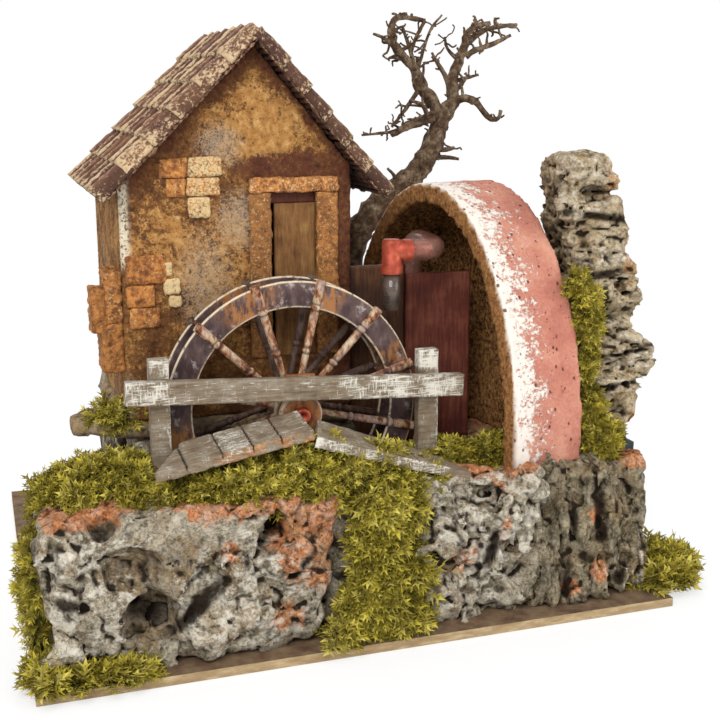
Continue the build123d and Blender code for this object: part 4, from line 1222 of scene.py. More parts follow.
@dataclass(frozen=True)
class Plaster:
    """Stippled plaster: ochre and cream dabs over dark brown, with maroon near the roof that is partly
    painted shade under the eaves.
    """

    deep: Shade = (48, 28, 20)
    brown: Shade = (100, 64, 36)
    ochre: Shade = (170, 122, 66)
    cream: Shade = (214, 188, 138)
    grey: Shade = (172, 158, 136)
    maroon: Shade = (80, 40, 32)

    def dress(self, name: str = "plaster") -> bpy.types.Material:
        """Makes the material; it reads the marks ochre, grey, maroon, edge and hollow."""
        recipe = Recipe(name)
        dab = recipe.noise(1.7, 5, 0.8, shift=1)
        cloud = recipe.noise(11, 5, 0.65, shift=6)
        ground = recipe.ramp(recipe.blend(0.5, cloud, recipe.noise(2.2, 4, 0.7, shift=8)),
                             (0.32, self.deep), (0.46, self.brown), (0.6, (134, 92, 50)),
                             (0.75, (160, 116, 66)))
        cover = recipe.plus(recipe.mark("ochre"), recipe.fade(cloud, 0.35, 0.65, -0.35, 0.35))
        share = recipe.fade(recipe.plus(dab, recipe.times(cover, 0.2)), 0.54, 0.66)
        dabs = recipe.ramp(recipe.noise(3, 5, 0.7, shift=11), (0.3, (140, 92, 46)), (0.46, self.ochre),
                           (0.6, (190, 144, 86)), (0.75, self.cream))
        colour = recipe.blend(recipe.times(share, 0.92), ground, dabs)
        # The maroon mark is maroon paint, and painted shade just under the roof.
        maroon = recipe.times(recipe.mark("maroon"), recipe.fade(dab, 0.66, 0.42, 0.25, 1))
        colour = recipe.blend(recipe.times(maroon, 0.85), colour, self.maroon)
        speck = recipe.fade(recipe.plus(recipe.noise(1.0, 4, 0.8, shift=21),
                                        recipe.times(recipe.mark("grey"), 0.16)), 0.56, 0.66)
        colour = recipe.blend(recipe.times(speck, recipe.fade(recipe.mark("grey"), 0.02, 0.6, 0, 0.55)),
                              colour, self.grey)
        dirt = recipe.fade(recipe.noise(1.9, 5, 0.82, shift=27), 0.45, 0.36, 0, 0.85)
        colour = recipe.blend(dirt, colour, self.deep)
        rubbed = recipe.times(recipe.mark("edge"), recipe.fade(dab, 0.4, 0.5))
        colour = recipe.blend(rubbed, colour, (220, 208, 182))
        # Painted shade in the plaster's hollows.
        colour = recipe.shaded(colour, 0.05, 0.45, 0.85, self.deep)
        recipe.bump(recipe.plus(dab, recipe.noise(0.8, 3, 0.7, shift=14)), 0.6, 0.9)
        return recipe.done(colour, 0.92, 0.2)


@dataclass(frozen=True)
class PaintedBrick:
    """Small painted stones: orange with cream dabs and dark joints."""

    low: Shade = (128, 78, 42)
    orange: Shade = (182, 120, 62)
    cream: Shade = (208, 184, 138)

    def dress(self) -> bpy.types.Material:
        """Makes the material; it reads the marks light, tone and hollow."""
        recipe = Recipe("painted_brick")
        cloud = recipe.noise(3.2, 5, 0.68, shift=3)
        colour = recipe.ramp(cloud, (0.28, (84, 46, 26)), (0.42, self.low), (0.56, self.orange),
                             (0.78, (212, 150, 86)))
        colour = recipe.blend(recipe.fade(recipe.mark("tone"), 0, 1, 0.75, 0), colour, (122, 84, 48))
        dab = recipe.noise(1.2, 5, 0.78, shift=12)
        share = recipe.fade(recipe.plus(dab, recipe.times(recipe.mark("light"), 0.3)), 0.58, 0.7)
        colour = recipe.blend(recipe.times(share, 0.92), colour, self.cream)
        pits = recipe.fade(recipe.noise(1.3, 4, 0.8, shift=17), 0.43, 0.36)
        colour = recipe.blend(recipe.times(pits, 0.85), colour, (58, 34, 22))
        # Painted shade in the stones' hollows.
        colour = recipe.shaded(colour, 0.03, 0.4, 0.8, (50, 28, 18))
        recipe.bump(recipe.plus(cloud, dab), 0.5, 0.8)
        return recipe.done(colour, 0.9, 0.25)


@dataclass(frozen=True)
class FiredTile:
    """Barrel tiles: brown-mauve clay with cream and ochre rubbed on the ridges, partly a painted highlight,
    and painted shade on their sides and in their hollows.
    """

    clay: Shade = (108, 72, 58)
    dark: Shade = (52, 34, 28)
    cream: Shade = (206, 180, 142)

    def dress(self) -> bpy.types.Material:
        """Makes the material; it reads the marks light, tone, side and hollow."""
        recipe = Recipe("fired_tile")
        cloud = recipe.noise(4, 5, 0.65)
        colour = recipe.ramp(cloud, (0.28, self.dark), (0.5, self.clay), (0.75, (152, 108, 88)))
        tone = recipe.ramp(recipe.mark("tone"), (0.0, (96, 60, 54)), (0.5, (128, 88, 72)),
                           (1.0, (164, 118, 82)))
        colour = recipe.blend(0.4, colour, tone)
        # The side mark paints shade on the tiles' sides and over the gutters.
        colour = recipe.blend(recipe.times(recipe.mark("side"), 0.9), colour, self.dark)
        dab = recipe.noise(1.4, 5, 0.78, shift=4, stretch=(1.2, 1, 1.2))
        # The light mark is cream rubbed on the crowns and lower ends, partly a painted highlight, with
        # painted light on the front row's front side.
        share = recipe.fade(recipe.plus(dab, recipe.times(recipe.mark("light"), 0.26)), 0.6, 0.72)
        colour = recipe.blend(recipe.times(share, 0.85), colour, self.cream)
        # Painted shade in the tiles' hollows.
        colour = recipe.shaded(colour, 0.05, 0.6, 0.85, (40, 26, 22))
        recipe.bump(recipe.plus(cloud, dab), 0.45, 0.8)
        return recipe.done(colour, 0.9, 0.25)


@dataclass
class House:
    """Walls, door frame, painted stones and roof of the house."""

    left: float = 48.6
    right: float = 150.7
    front: float = 75.0
    back: float = 175.0
    base: float = 87.0
    wall: float = 5.0
    ridge_x: float = 107.5
    ridge: float = 248.0
    left_pitch: float = 45.0
    right_pitch: float = 50.0
    eaves: tuple[float, float] = (41.0, 162.7)
    roof_front: float = 65.0
    roof_back: float = 180.0
    board: float = 2.6
    door: tuple[float, float, float, float] = (114.0, 134.5, 112.0, 185.5)
    tile_rows: int = 7
    tile_width: float = 16.4
    tile_length: float = 15.2

    def _underside(self, x: np.ndarray) -> np.ndarray:
        """Height of the roof boards' underside."""
        left = self.ridge - (self.ridge_x - x) * math.tan(math.radians(self.left_pitch))
        right = self.ridge - (x - self.ridge_x) * math.tan(math.radians(self.right_pitch))
        return np.minimum(left, right)

    def _wall(self, face: WallFace, pitch: float) -> Skin:
        """One wall with its rough plaster."""
        inner = self.wall
        spans = {
            WallFace.FRONT: ((self.left, self.right), (self.front, self.front + inner)),
            WallFace.BACK: ((self.left, self.right), (self.back - inner, self.back)),
            WallFace.LEFT: ((self.left, self.left + inner), (self.front + inner, self.back - inner)),
            WallFace.RIGHT: ((self.right - inner, self.right), (self.front + inner, self.back - inner)),
        }[face]
        (x0, x1), (y0, y1) = spans
        seed = 201 + list(WallFace).index(face)
        grain = Grain(seed)
        x0_d, x1_d, z0_d, z1_d = self.door

        def form(points: np.ndarray) -> np.ndarray:
            """Distance outside the bare wall."""
            walls = np.maximum.reduce([x0 - points[:, 0], points[:, 0] - x1, y0 - points[:, 1],
                                       points[:, 1] - y1, self.base - points[:, 2],
                                       (points[:, 2] - self._underside(points[:, 0])) * 0.7])
            if face is WallFace.FRONT:
                hole = np.maximum.reduce([x0_d - points[:, 0], points[:, 0] - x1_d,
                                          z0_d - points[:, 2], points[:, 2] - z1_d])
                walls = np.maximum(walls, -hole)
            return walls

        def relief(points: np.ndarray) -> np.ndarray:
            """Height of the plaster."""
            height = 0.85 * grain.layers(points, 5, 4, 0.65) + 0.75 * (grain.knobs(points, 2.4) - 0.5)
            outward = {WallFace.FRONT: points[:, 1] - y0, WallFace.BACK: y1 - points[:, 1],
                       WallFace.LEFT: points[:, 0] - x0, WallFace.RIGHT: x1 - points[:, 0]}[face]
            return np.where(outward < 1.5, height, 0.15 * height)

        room = 1.5
        skin = wrapped(form, (x0 - room, y0 - room, self.base - room),
                       (x1 + room, y1 + room, self.ridge + room), pitch, relief, 1.8)
        x, z = skin.points[:, 0], skin.points[:, 2]
        skin.marks["hollow"] = skin.hollowness(4)
        under = self._underside(x) - z

        def patch(middle: tuple[float, float], radii: tuple[float, float], rim: float = 1.3,
                  core: float = 0.2) -> np.ndarray:
            """An oval patch on the wall: 0 outside its rim, 1 in its core."""
            return step_between(np.hypot((x - middle[0]) / radii[0], (z - middle[1]) / radii[1]), rim, core)

        if face is WallFace.FRONT:
            ochre = 1.1 * patch((113, 214), (26, 22), core=0.3)
            ochre += 0.6 * patch((64, 166), (20, 26))
            ochre += 0.75 * patch((94, 150), (24, 34), core=0.3)
            grey = np.maximum(patch((92, 206), (13, 12)), patch((100, 174), (14, 16)))
            grey = np.maximum(grey, 0.9 * patch((84, 146), (16, 30)))
            # Maroon in bands just under the roof is painted shade under the eaves; at the right end and over
            # the door it is maroon paint.
            maroon = np.maximum(step_between(under, 14, 3) * step_between(np.abs(z - 215), 10, 40) * 0.8
                                + step_between(under, 9, 2) * 0.7, step_between(x, 136, 146))
            maroon = np.maximum(maroon, patch((122, 197), (24, 7), 1.2, 0.5))
            ochre = ochre - 0.9 * maroon
        else:
            wave = Grain(seed + 9).layers(skin.points, 26, 3)
            ochre = 0.55 + 0.6 * wave
            grey = step_between(wave, -0.1, -0.6) * 0.8
            # A band of painted shade just under the roof.
            maroon = step_between(under, 12, 2) * 0.8
        corner = step_between(np.hypot(x - self.left, skin.points[:, 1] - self.front), 4.6, 2.2)
        edge = corner * (step_between(z, 152, 160) + 0.35 * step_between(z, 112, 100))
        skin.marks.update(ochre=np.clip(ochre, -1, 1.3), grey=np.clip(grey, 0, 1),
                          maroon=np.clip(maroon, 0, 1), edge=np.clip(edge, 0, 1))
        return skin

    def build_walls(self, plaster: bpy.types.Material) -> None:
        """Makes the four walls.

        Args:
            plaster: their finish.
        """
        for face in WallFace:
            pitch = 1.2 if face is WallFace.FRONT else 2.4
            name = f"house_{face.value}_wall"
            make_piece(name, self._wall(face, pitch), plaster, Body.MILL, (name,))

    def _stone(self, low: Point, high: Point, seed: int, light: float, rough: float = 1.0,
               tone: float = 1.0) -> Skin:
        """One painted stone, rough and rounded."""
        grain = Grain(seed)

        def relief(points: np.ndarray) -> np.ndarray:
            """Broken faces with small pits."""
            height = 0.6 * grain.layers(points, 4, 4, 0.65) + 0.4 * (grain.knobs(points, 1.8) - 0.5)
            return rough * (height + 0.25 * grain.facets(points, 3))

        skin = wrapped(lambda points: block(points, low, high, 0.6), tuple(np.subtract(low, 1.8)),
                       tuple(np.add(high, 1.8)), 0.85, relief, 1.7)
        skin.marks["tone"] = skin.level(tone)
        skin.marks["hollow"] = skin.hollowness(3)
        skin.marks["light"] = skin.level(light)
        return skin

    def build_stones(self, brick: bpy.types.Material) -> None:
        """Makes the brick patches, the lintel, the jambs and the corner stones.

        Args:
            brick: their finish.
        """
        face = self.front
        upper = (((65.6, 192.7), (77.8, 200.8), 0.1), ((78.0, 193.0), (92.5, 201.4), 0.55),
                 ((68.5, 184.6), (76.8, 192.4), 0.15), ((77.0, 184.8), (91.5, 192.7), 0.5),
                 ((77.6, 175.5), (87.0, 184.4), 0.6))
        lower = (((50.2, 148.0), (67.5, 160.4), 0.05), ((50.0, 138.0), (62.0, 147.6), 0.0),
                 ((51.0, 128.8), (64.0, 137.6), 0.15), ((64.5, 151.0), (70.0, 157.0), 0.8),
                 ((66.0, 143.0), (73.0, 150.0), 0.85), ((68.0, 137.5), (73.5, 142.5), 0.75))
        stones = [
            self._stone((x0, face - 1.5, z0), (x1, face + 1.2, z1), 300 + k, light)
            for k, ((x0, z0), (x1, z1), light) in enumerate(upper + lower)]
        make_piece("brick_patches", joined(stones), brick, Body.MILL, ("brick_patches",))
        x0, x1, z0, z1 = self.door
        lintel = self._stone((x0 - 10, face - 2.4, z1), (x1 + 10, face + 0.6, z1 + 6.5), 331, 0.22, 1.3)
        make_piece("door_lintel", lintel, brick, Body.MILL, ("door_lintel",))
        jambs = [self._stone((x0 - 10, face - 1.6, z0), (x0, face + 0.8, z1), 333, 0.12, 1.1, 0.2),
                 self._stone((x1, face - 1.6, z0), (x1 + 10, face + 0.8, z1), 337, 0.12, 1.1, 0.5)]
        make_piece("door_jambs", joined(jambs), brick, Body.MILL, ("door_jambs",))
        corner = [
            self._stone((39.4, 78, 109), (48.9, 99.5, 131), 341, 0.05, 1.8, 0.6),
            self._stone((41.4, 78.4, 130.5), (48.9, 99.5, 153), 343, 0.15, 1.8, 0.7),
            self._stone((35.4, 78, 126.6), (41.5, 93.6, 146), 347, 0.0, 1.6, 0.6),
        ]
        make_piece("corner_stones", joined(corner), brick, Body.MILL, ("corner_stones",))

    def _tile_rows(self, side: int) -> Skin:
        """The barrel tiles of one slope, each laid over the one below."""
        pitch = math.radians(self.left_pitch if side < 0 else self.right_pitch)
        eave = self.eaves[0 if side < 0 else 1]
        slope = abs(self.ridge_x - eave) / math.cos(pitch)
        up = np.array([-side * math.cos(pitch), 0, math.sin(pitch)])
        out = np.array([side * math.sin(pitch), 0, math.cos(pitch)])
        start = np.array([eave, 0, float(self._underside(np.array([eave]))[0]) + self.board])
        start = start + (2.4 if side < 0 else 0.4) * up
        draw = np.random.default_rng(400 + side)
        rows, column = self.tile_rows, self.tile_width
        count = int(round(slope / self.tile_length))
        step = slope / count
        first = (self.roof_front + self.roof_back) / 2 - rows * column / 2 + column / 2
        skins = []
        for row in range(rows):
            for course in range(count):
                # face paints light on the front sides of the front row.
                face = 0.0 if row else (0.15 if course < 1 else draw.uniform(0.3, 0.75))
                face = face if side < 0 else 0.45 * face
                skins.append(self._tile(draw, start, up, out, first + row * column, course * step, step,
                                        face))
        for row in range(1, rows):
            skins.append(self._gutter(draw, start, up, out, first + (row - 0.5) * column, slope))
        tiles = joined(skins)
        grain = Grain(411 + side)
        lift = 0.8 * grain.layers(tiles.points, 3.2, 3, 0.65) + 0.4 * (grain.knobs(tiles.points, 1.9) - 0.4)
        tiles.points = tiles.points + tiles.normals() * lift[:, None]
        tiles.marks["hollow"] = tiles.hollowness(2)
        tiles.points[:, 1] = np.clip(tiles.points[:, 1], self.roof_front - 1.5, self.roof_back + 1.5)
        return tiles

    def _tile(self, draw: np.random.Generator, start: np.ndarray, up: np.ndarray, out: np.ndarray,
              middle: float, foot: float, step: float, face: float) -> Skin:
        """One barrel tile: a thick half tube, higher at its lower end; face paints light on its front side
        and takes the painted shade off it.
        """
        lengths, turns = 9, 13
        tone, light = draw.uniform(0, 1), np.clip(draw.normal(0.6, 0.28), 0, 1.1)
        yaw, shift = draw.normal(0, 0.035), draw.normal(0, 0.55)
        along = np.linspace(-2.6, step + 0.6, lengths)
        angle = np.linspace(-0.06, math.pi + 0.06, turns)
        layers = []
        for inner in (False, True):
            share = (along + 2.6) / (step + 3.2)
            radius = (7.3 - 0.8 * share)[:, None] - (1.9 if inner else 0)
            height = (1.1 - 0.9 * share)[:, None] - 1.2
            across = radius * np.cos(angle)[None] + yaw * along[:, None] + shift
            rise = np.maximum(radius * np.sin(angle)[None] * 0.97 + height, -0.4 if not inner else -1.0)
            place = (start + (foot + along)[:, None, None] * up + rise[:, :, None] * out)
            place[:, :, 1] = middle + across
            layers.append(place.reshape(-1, 3))
        points = np.concatenate(layers)
        faces = thick_sheet_faces(lengths, turns, turned=up[0] > 0)
        edge = np.tile(np.repeat(step_between(along, 1.5, -2.6), turns), 2)
        crown = np.tile(np.tile(np.sin(np.clip(angle, 0, math.pi)), lengths), 2)
        near = np.tile(np.tile(step_between(-np.cos(angle), 0.3, 0.65), lengths), 2)
        # light: cream on the crowns and lower ends, partly a painted highlight, with painted light from face;
        # side: painted shade on the sides.
        return Skin(points, faces, {
            "tone": np.full(len(points), tone),
            "light": np.clip(light * crown ** 4 * (1 - near) + 0.5 * edge + 0.85 * face * near, 0, 1),
            "side": np.clip(np.maximum(1.1 - 1.15 * crown ** 3, 0.95 * near) * (1 - face * near), 0, 1)})

    def _gutter(self, draw: np.random.Generator, start: np.ndarray, up: np.ndarray, out: np.ndarray,
                middle: float, slope: float) -> Skin:
        """The hollow tile that lies between two rows, all in painted shade."""
        lengths, turns = 40, 5
        along = np.linspace(-1.2, slope, lengths)
        across = np.linspace(-3.6, 3.6, turns)
        rise = 0.5 + 0.09 * across[None] ** 2 + 0.25 * np.mod(-along / 5.1, 1)[:, None]
        place = start + along[:, None, None] * up + rise[:, :, None] * out
        place[:, :, 1] = middle + across
        low = start + along[:, None, None] * up - 0.2 * out + np.zeros((1, turns, 1))
        low[:, :, 1] = middle + across
        points = np.concatenate([place.reshape(-1, 3), low.reshape(-1, 3)])
        faces = thick_sheet_faces(lengths, turns, turned=up[0] > 0)
        tone = draw.uniform(0, 0.4)
        # A side mark of 1 paints the whole gutter in shade.
        return Skin(points, faces, {"tone": np.full(len(points), tone), "light": np.zeros(len(points)),
                                    "side": np.ones(len(points))})

    def _board(self, side: int) -> Skin:
        """One roof board with a ragged lower face along its front edge."""
        x0, x1 = (self.eaves[0] + 1.2, self.ridge_x) if side < 0 else (self.ridge_x, self.eaves[1])
        grain = Grain(451 + side)

        def form(points: np.ndarray) -> np.ndarray:
            """Distance outside the board."""
            over = points[:, 2] - self._underside(points[:, 0])
            return np.maximum.reduce([x0 - points[:, 0], points[:, 0] - x1, self.roof_front - points[:, 1],
                                      points[:, 1] - self.roof_back, -over * 0.68,
                                      (over - self.board) * 0.68])

        def relief(points: np.ndarray) -> np.ndarray:
            """Torn fibres under the front edge, and a rough face elsewhere."""
            over = points[:, 2] - self._underside(points[:, 0])
            height = 0.4 * grain.layers(points, 3, 3, 0.6)
            ragged = step_between(points[:, 1], self.roof_front + 8, self.roof_front + 1)
            torn = 1.1 * grain.layers(points + 40, (3.5, 3.5, 3.5), 3, 0.65)
            return np.where(over < self.board * 0.5, height + ragged * np.maximum(torn, -0.2), 0.3 * height)

        skin = wrapped(form, (x0 - 3, self.roof_front - 3,
                              float(self._underside(np.array([x0 if side < 0 else x1]))[0]) - 4),
                       (x1 + 3, self.roof_back + 3, self.ridge + 6), 2.2, relief, 2.4)
        y, x, z = skin.points[:, 1], skin.points[:, 0], skin.points[:, 2]
        skin.marks["hollow"] = skin.hollowness(3)
        over = z - self._underside(x)
        skin.marks["edge"] = (step_between(y, self.roof_front + 2.5, self.roof_front)
                              * step_between(over, 0.2, 1.2))
        return skin

    def build_roof(self, tile: bpy.types.Material, board: bpy.types.Material) -> None:
        """Makes both slopes.

        Args:
            tile: finish of the tiles.
            board: finish of the boards under them.
        """
        for side, name in ((-1, "left"), (1, "right")):
            make_piece(f"roof_{name}_tiles", self._tile_rows(side), tile, Body.MILL,
                       (f"roof_{name}_tiles",))
            make_piece(f"roof_{name}_board", self._board(side), board, Body.MILL,
                       (f"roof_{name}_board",))


@dataclass(frozen=True)
class RoofBoard:
    """Raw board under the tiles, dark below and cream-ochre on its front edge."""

    def dress(self) -> bpy.types.Material:
        """Makes the material; it reads the marks edge and hollow."""
        recipe = Recipe("roof_board")
        fibre = recipe.noise(2.2, 5, 0.7, stretch=(1.6, 1, 1.6))
        dark = recipe.ramp(fibre, (0.3, (40, 28, 24)), (0.55, (78, 52, 42)), (0.8, (116, 84, 62)))
        light = recipe.ramp(fibre, (0.36, (70, 46, 38)), (0.5, (124, 88, 64)), (0.66, (198, 168, 128)))
        colour = recipe.blend(recipe.mark("edge"), dark, light)
        # Painted shade in the board's hollows.
        colour = recipe.shaded(colour, 0.05, 0.5, 0.85, (30, 20, 16))
        recipe.bump(fibre, 0.5, 0.8)
        return recipe.done(colour, 0.95, 0.15)


def grid_faces(rows: int, columns: int, start: int = 0, turned: bool = False) -> np.ndarray:
    """Faces of a sheet of points held row by row.

    Args:
        rows: number of rows.
        columns: number of points in a row.
        start: number of the first point.
        turned: whether the faces look the other way.

    Returns:
        Rows of four corners.
    """
    at = (np.arange(rows - 1)[:, None] * columns + np.arange(columns - 1)[None]).ravel() + start
    faces = np.stack([at, at + columns, at + columns + 1, at + 1], axis=1)
    return faces[:, ::-1] if turned else faces


def thick_sheet_faces(rows: int, columns: int, turned: bool = False) -> np.ndarray:
    """Faces of a sheet with two layers of points, the second under the first, closed along its edges.

    Args:
        rows: number of rows in a layer.
        columns: number of points in a row.
        turned: whether the faces look the other way.

    Returns:
        Rows of four corners.
    """
    size = rows * columns
    mirrored = [0, 3, 2, 1]
    upper = grid_faces(rows, columns)
    end, side = np.arange(columns - 1), np.arange(rows - 1) * columns
    parts = [upper, size + upper[:, mirrored]]
    for edge, step, flip in ((end, 1, False), (end + size - columns, 1, True),
                             (side, columns, True), (side + columns - 1, columns, False)):
        strip = np.stack([edge, edge + step, edge + step + size, edge + size], axis=1)
        parts.append(strip[:, mirrored] if flip else strip)
    faces = np.concatenate(parts)
    return faces[:, ::-1] if turned else faces


def turned_part(profile: Sequence[tuple[float, float]], origin: Point, axis: Point, sides: int = 48,
                closed: bool = False) -> Skin:
    """A part turned on a lathe.

    Args:
        profile: radius and place along the axis of each point.
        origin: where the axis starts.
        axis: its direction.
        sides: number of faces round it.
        closed: whether the profile's last point joins its first, as for a ring.

    Returns:
        The skin, with the marks along and across.
    """
    axis = np.asarray(axis, dtype=float) / np.linalg.norm(axis)
    helper = np.array([0.0, 0, 1]) if abs(axis[2]) < 0.9 else np.array([1.0, 0, 0])
    first = np.cross(helper, axis)
    first /= np.linalg.norm(first)
    second = np.cross(axis, first)
    angle = np.linspace(0, 2 * math.pi, sides, endpoint=False)
    ring = np.cos(angle)[:, None] * first + np.sin(angle)[:, None] * second
    radius = np.array([point[0] for point in profile], dtype=float)
    place = np.array([point[1] for point in profile], dtype=float)
    points = (np.asarray(origin) + radius[:, None, None] * ring[None]
              + place[:, None, None] * axis).reshape(-1, 3)
    count = len(profile)
    faces = []
    for k in range(count if closed else count - 1):
        following = (k + 1) % count
        a = k * sides + np.arange(sides)
        b = k * sides + (np.arange(sides) + 1) % sides
        c = following * sides + (np.arange(sides) + 1) % sides
        d = following * sides + np.arange(sides)
        faces.append(np.stack([a, b, c, d], axis=1))
    return Skin(points, np.concatenate(faces), {
        "along": np.repeat(place, sides), "across": np.repeat(radius, sides)})


def slab_between(corners: Sequence[Point], thickness: float, pitch: float, up: Sequence[float], seed: int,
                 rough: float, cuts: Sequence[float] = (), frayed: float = 0.0) -> Skin:
    """A board that fills the space between four corners of its upper face, going down from them.

    Args:
        corners: the upper face's corners in order, the first pair along its length.
        thickness: how thick it is.
        pitch: width of a face.
        up: direction square to the upper face, nearly.
        seed: number that fixes its irregularity.
        rough: height of the grain.
        cuts: shares of the length where a saw line crosses the upper face.
        frayed: how far the first long edge is torn in.

    Returns:
        The skin, with the marks hollow, along and side.
    """
    a, b, c, d = (np.asarray(corner, dtype=float) for corner in corners)
    up = np.asarray(up, dtype=float) / np.linalg.norm(up)
    long = max(3, int(np.linalg.norm(b - a) / pitch))
    wide = max(3, int(np.linalg.norm(d - a) / pitch))
    thick = max(1, int(round(thickness / pitch)))
    s = np.linspace(0, 1, long + 1)
    ring_t = np.concatenate([np.linspace(0, 1, wide + 1), np.ones(thick - 1), np.linspace(1, 0, wide + 1),
                             np.zeros(thick - 1)])
    drop = np.concatenate([np.zeros(wide + 1), np.linspace(0, 1, thick + 1)[1:-1], np.ones(wide + 1),
                           np.linspace(1, 0, thick + 1)[1:-1]])
    size = len(ring_t)
    grain = Grain(seed)
    near, far = a + s[:, None] * (b - a), d + s[:, None] * (c - d)
    span = far - near
    if frayed:
        torn = frayed * (0.5 + 0.9 * grain.layers(np.stack([s * long * pitch, s * 0, s * 0], axis=1), 5, 4,
                                                  0.6))
        near = near + span / np.linalg.norm(span, axis=1, keepdims=True) * np.maximum(torn, 0)[:, None]
        span = far - near
    points = near[:, None] + ring_t[None, :, None] * span[:, None] - (thickness * drop)[None, :, None] * up
    points = points.reshape(-1, 3)
    faces = []
    index = np.arange(size)
    for k in range(long):
        p, q = k * size + index, k * size + (index + 1) % size
        faces.append(np.stack([p, p + size, q + size, q], axis=1))
    for k, flip in ((0, False), (long, True)):
        rows_top = k * size + np.arange(wide + 1)
        rows = [rows_top]
        for level in range(1, thick):
            left = k * size + size - level
            right = k * size + wide + level
            inner = np.linspace(0, 1, wide + 1)
            first, last = points[left], points[right]
            extra = first + inner[1:-1, None] * (last - first)
            start = len(points)
            points = np.concatenate([points, extra])
            rows.append(np.concatenate([[left], start + np.arange(wide - 1), [right]]))
        rows.append(k * size + wide + thick + np.arange(wide + 1)[::-1])
        for first, second in zip(rows, rows[1:]):
            quad = np.stack([first[:-1], first[1:], second[1:], second[:-1]], axis=1)
            faces.append(quad[:, ::-1] if flip else quad)
    skin = Skin(points, np.concatenate(faces))
    run = (b - a) / np.linalg.norm(b - a)
    sideways = np.cross(up, run)
    local = np.stack([(skin.points - a) @ run, (skin.points - a) @ sideways, (skin.points - a) @ up], axis=1)
    lift = rough * (grain.layers(local, (14, 2.2, 2.2), 4, 0.6)
                    + 0.5 * grain.layers(local + 9, (3, 1.2, 1.2), 2))
    share = local[:, 0] / np.linalg.norm(b - a)
    for cut in cuts:
        off = np.abs(share - cut) * np.linalg.norm(b - a)
        lift = lift - 1.1 * step_between(off, 0.75, 0.1) * step_between(-local[:, 2], thickness * 0.8, 0)
    normals = skin.normals()
    if normals[wide // 2 + size * (long // 2)] @ up < 0:
        skin.faces = skin.faces[:, ::-1]
        normals = -normals
    skin.points = skin.points + normals * lift[:, None]
    skin.marks = {"hollow": skin.hollowness(3), "along": share,
                  "side": step_between(local[:, 1] * np.sign(((d - a) @ sideways)), 2.2, 0.2)}
    return skin


def upright_board(low: Point, high: Point, seed: int, pitch: float = 1.2, rough: float = 0.25) -> Skin:
    """A board that stands across the model.

    Args:
        low: its lowest corner.
        high: its highest corner.
        seed: number that fixes its irregularity.
        pitch: width of a face.
        rough: height of the grain.

    Returns:
        The skin, with the mark hollow.
    """
    corners = ((low[0], low[1], low[2]), (low[0], low[1], high[2]), (high[0], low[1], high[2]),
               (high[0], low[1], low[2]))
    skin = slab_between(corners, high[1] - low[1], pitch, (0, -1, 0), seed, rough)
    skin.marks = {"hollow": skin.marks["hollow"]}
    return skin


def smooth_route(points: Sequence[Point], radii: Sequence[float],
                 steps: int) -> tuple[np.ndarray, np.ndarray]:
    """Points of a smooth line through given points, with the radius at each.

    Args:
        points: what the line passes through.
        radii: the radius at each of them.
        steps: points added in each run.

    Returns:
        The line's points and radii.
    """
    held = np.asarray(points, dtype=float)
    held = np.concatenate([[2 * held[0] - held[1]], held, [2 * held[-1] - held[-2]]])
    line, size = [], []
    for k in range(1, len(held) - 2):
        p, q, r, s = held[k - 1], held[k], held[k + 1], held[k + 2]
        for t in np.linspace(0, 1, steps, endpoint=False):
            line.append(0.5 * (2 * q + (r - p) * t + (2 * p - 5 * q + 4 * r - s) * t ** 2
                               + (3 * q - p - 3 * r + s) * t ** 3))
            size.append(radii[k - 1] * (1 - t) + radii[k] * t)
    line.append(held[-2])
    size.append(radii[-1])
    return np.array(line), np.array(size)


def tube_along(points: Sequence[Point], radii: Sequence[float], sides: int, steps: int, knots: float = 0.0,
               seed: int = 0) -> Skin:
    """A tube or limb along a smooth line.

    Args:
        points: what its middle passes through.
        radii: its radius at each of them.
        sides: number of faces round it.
        steps: rings in each run.
        knots: how uneven it is, as a share of its radius.
        seed: number that fixes its irregularity.

    Returns:
        The skin.
    """
    line, size = smooth_route(points, radii, steps)
    tangent = np.gradient(line, axis=0)
    tangent /= np.maximum(np.linalg.norm(tangent, axis=1, keepdims=True), 1e-9)
    side = np.cross(tangent[0], [0.3, 1.0, 0.2])
    rings = []
    angle = np.linspace(0, 2 * math.pi, sides, endpoint=False)
    for centre, direction, radius in zip(line, tangent, size):
        side = side - (side @ direction) * direction
        side /= np.linalg.norm(side)
        other = np.cross(direction, side)
        rings.append(centre + radius * (np.cos(angle)[:, None] * side + np.sin(angle)[:, None] * other))
    count = len(rings)
    points_all = np.concatenate([np.concatenate(rings), [line[0]], [line[-1]]])
    a = (np.arange(count - 1)[:, None] * sides + np.arange(sides)[None]).ravel()
    b = (np.arange(count - 1)[:, None] * sides + (np.arange(sides)[None] + 1) % sides).ravel()
    faces = [np.stack([a, b, b + sides, a + sides], axis=1)]
    start, end = count * sides, count * sides + 1
    last = (count - 1) * sides
    for k in range(0, sides, 2):
        one, two = (k + 1) % sides, (k + 2) % sides
        faces.append(np.array([[start, two, one, k], [end, last + k, last + one, last + two]]))
    skin = Skin(points_all, np.concatenate(faces))
    if knots:
        grain = Grain(seed)
        local = np.concatenate([np.repeat(size, sides), [size[0], size[-1]]])
        lift = knots * local * (grain.layers(skin.points, 5, 4, 0.6)
                                + 0.5 * grain.layers(skin.points + 30, (2, 2, 6), 2))
        skin.points = skin.points + skin.normals() * lift[:, None]
    return skin


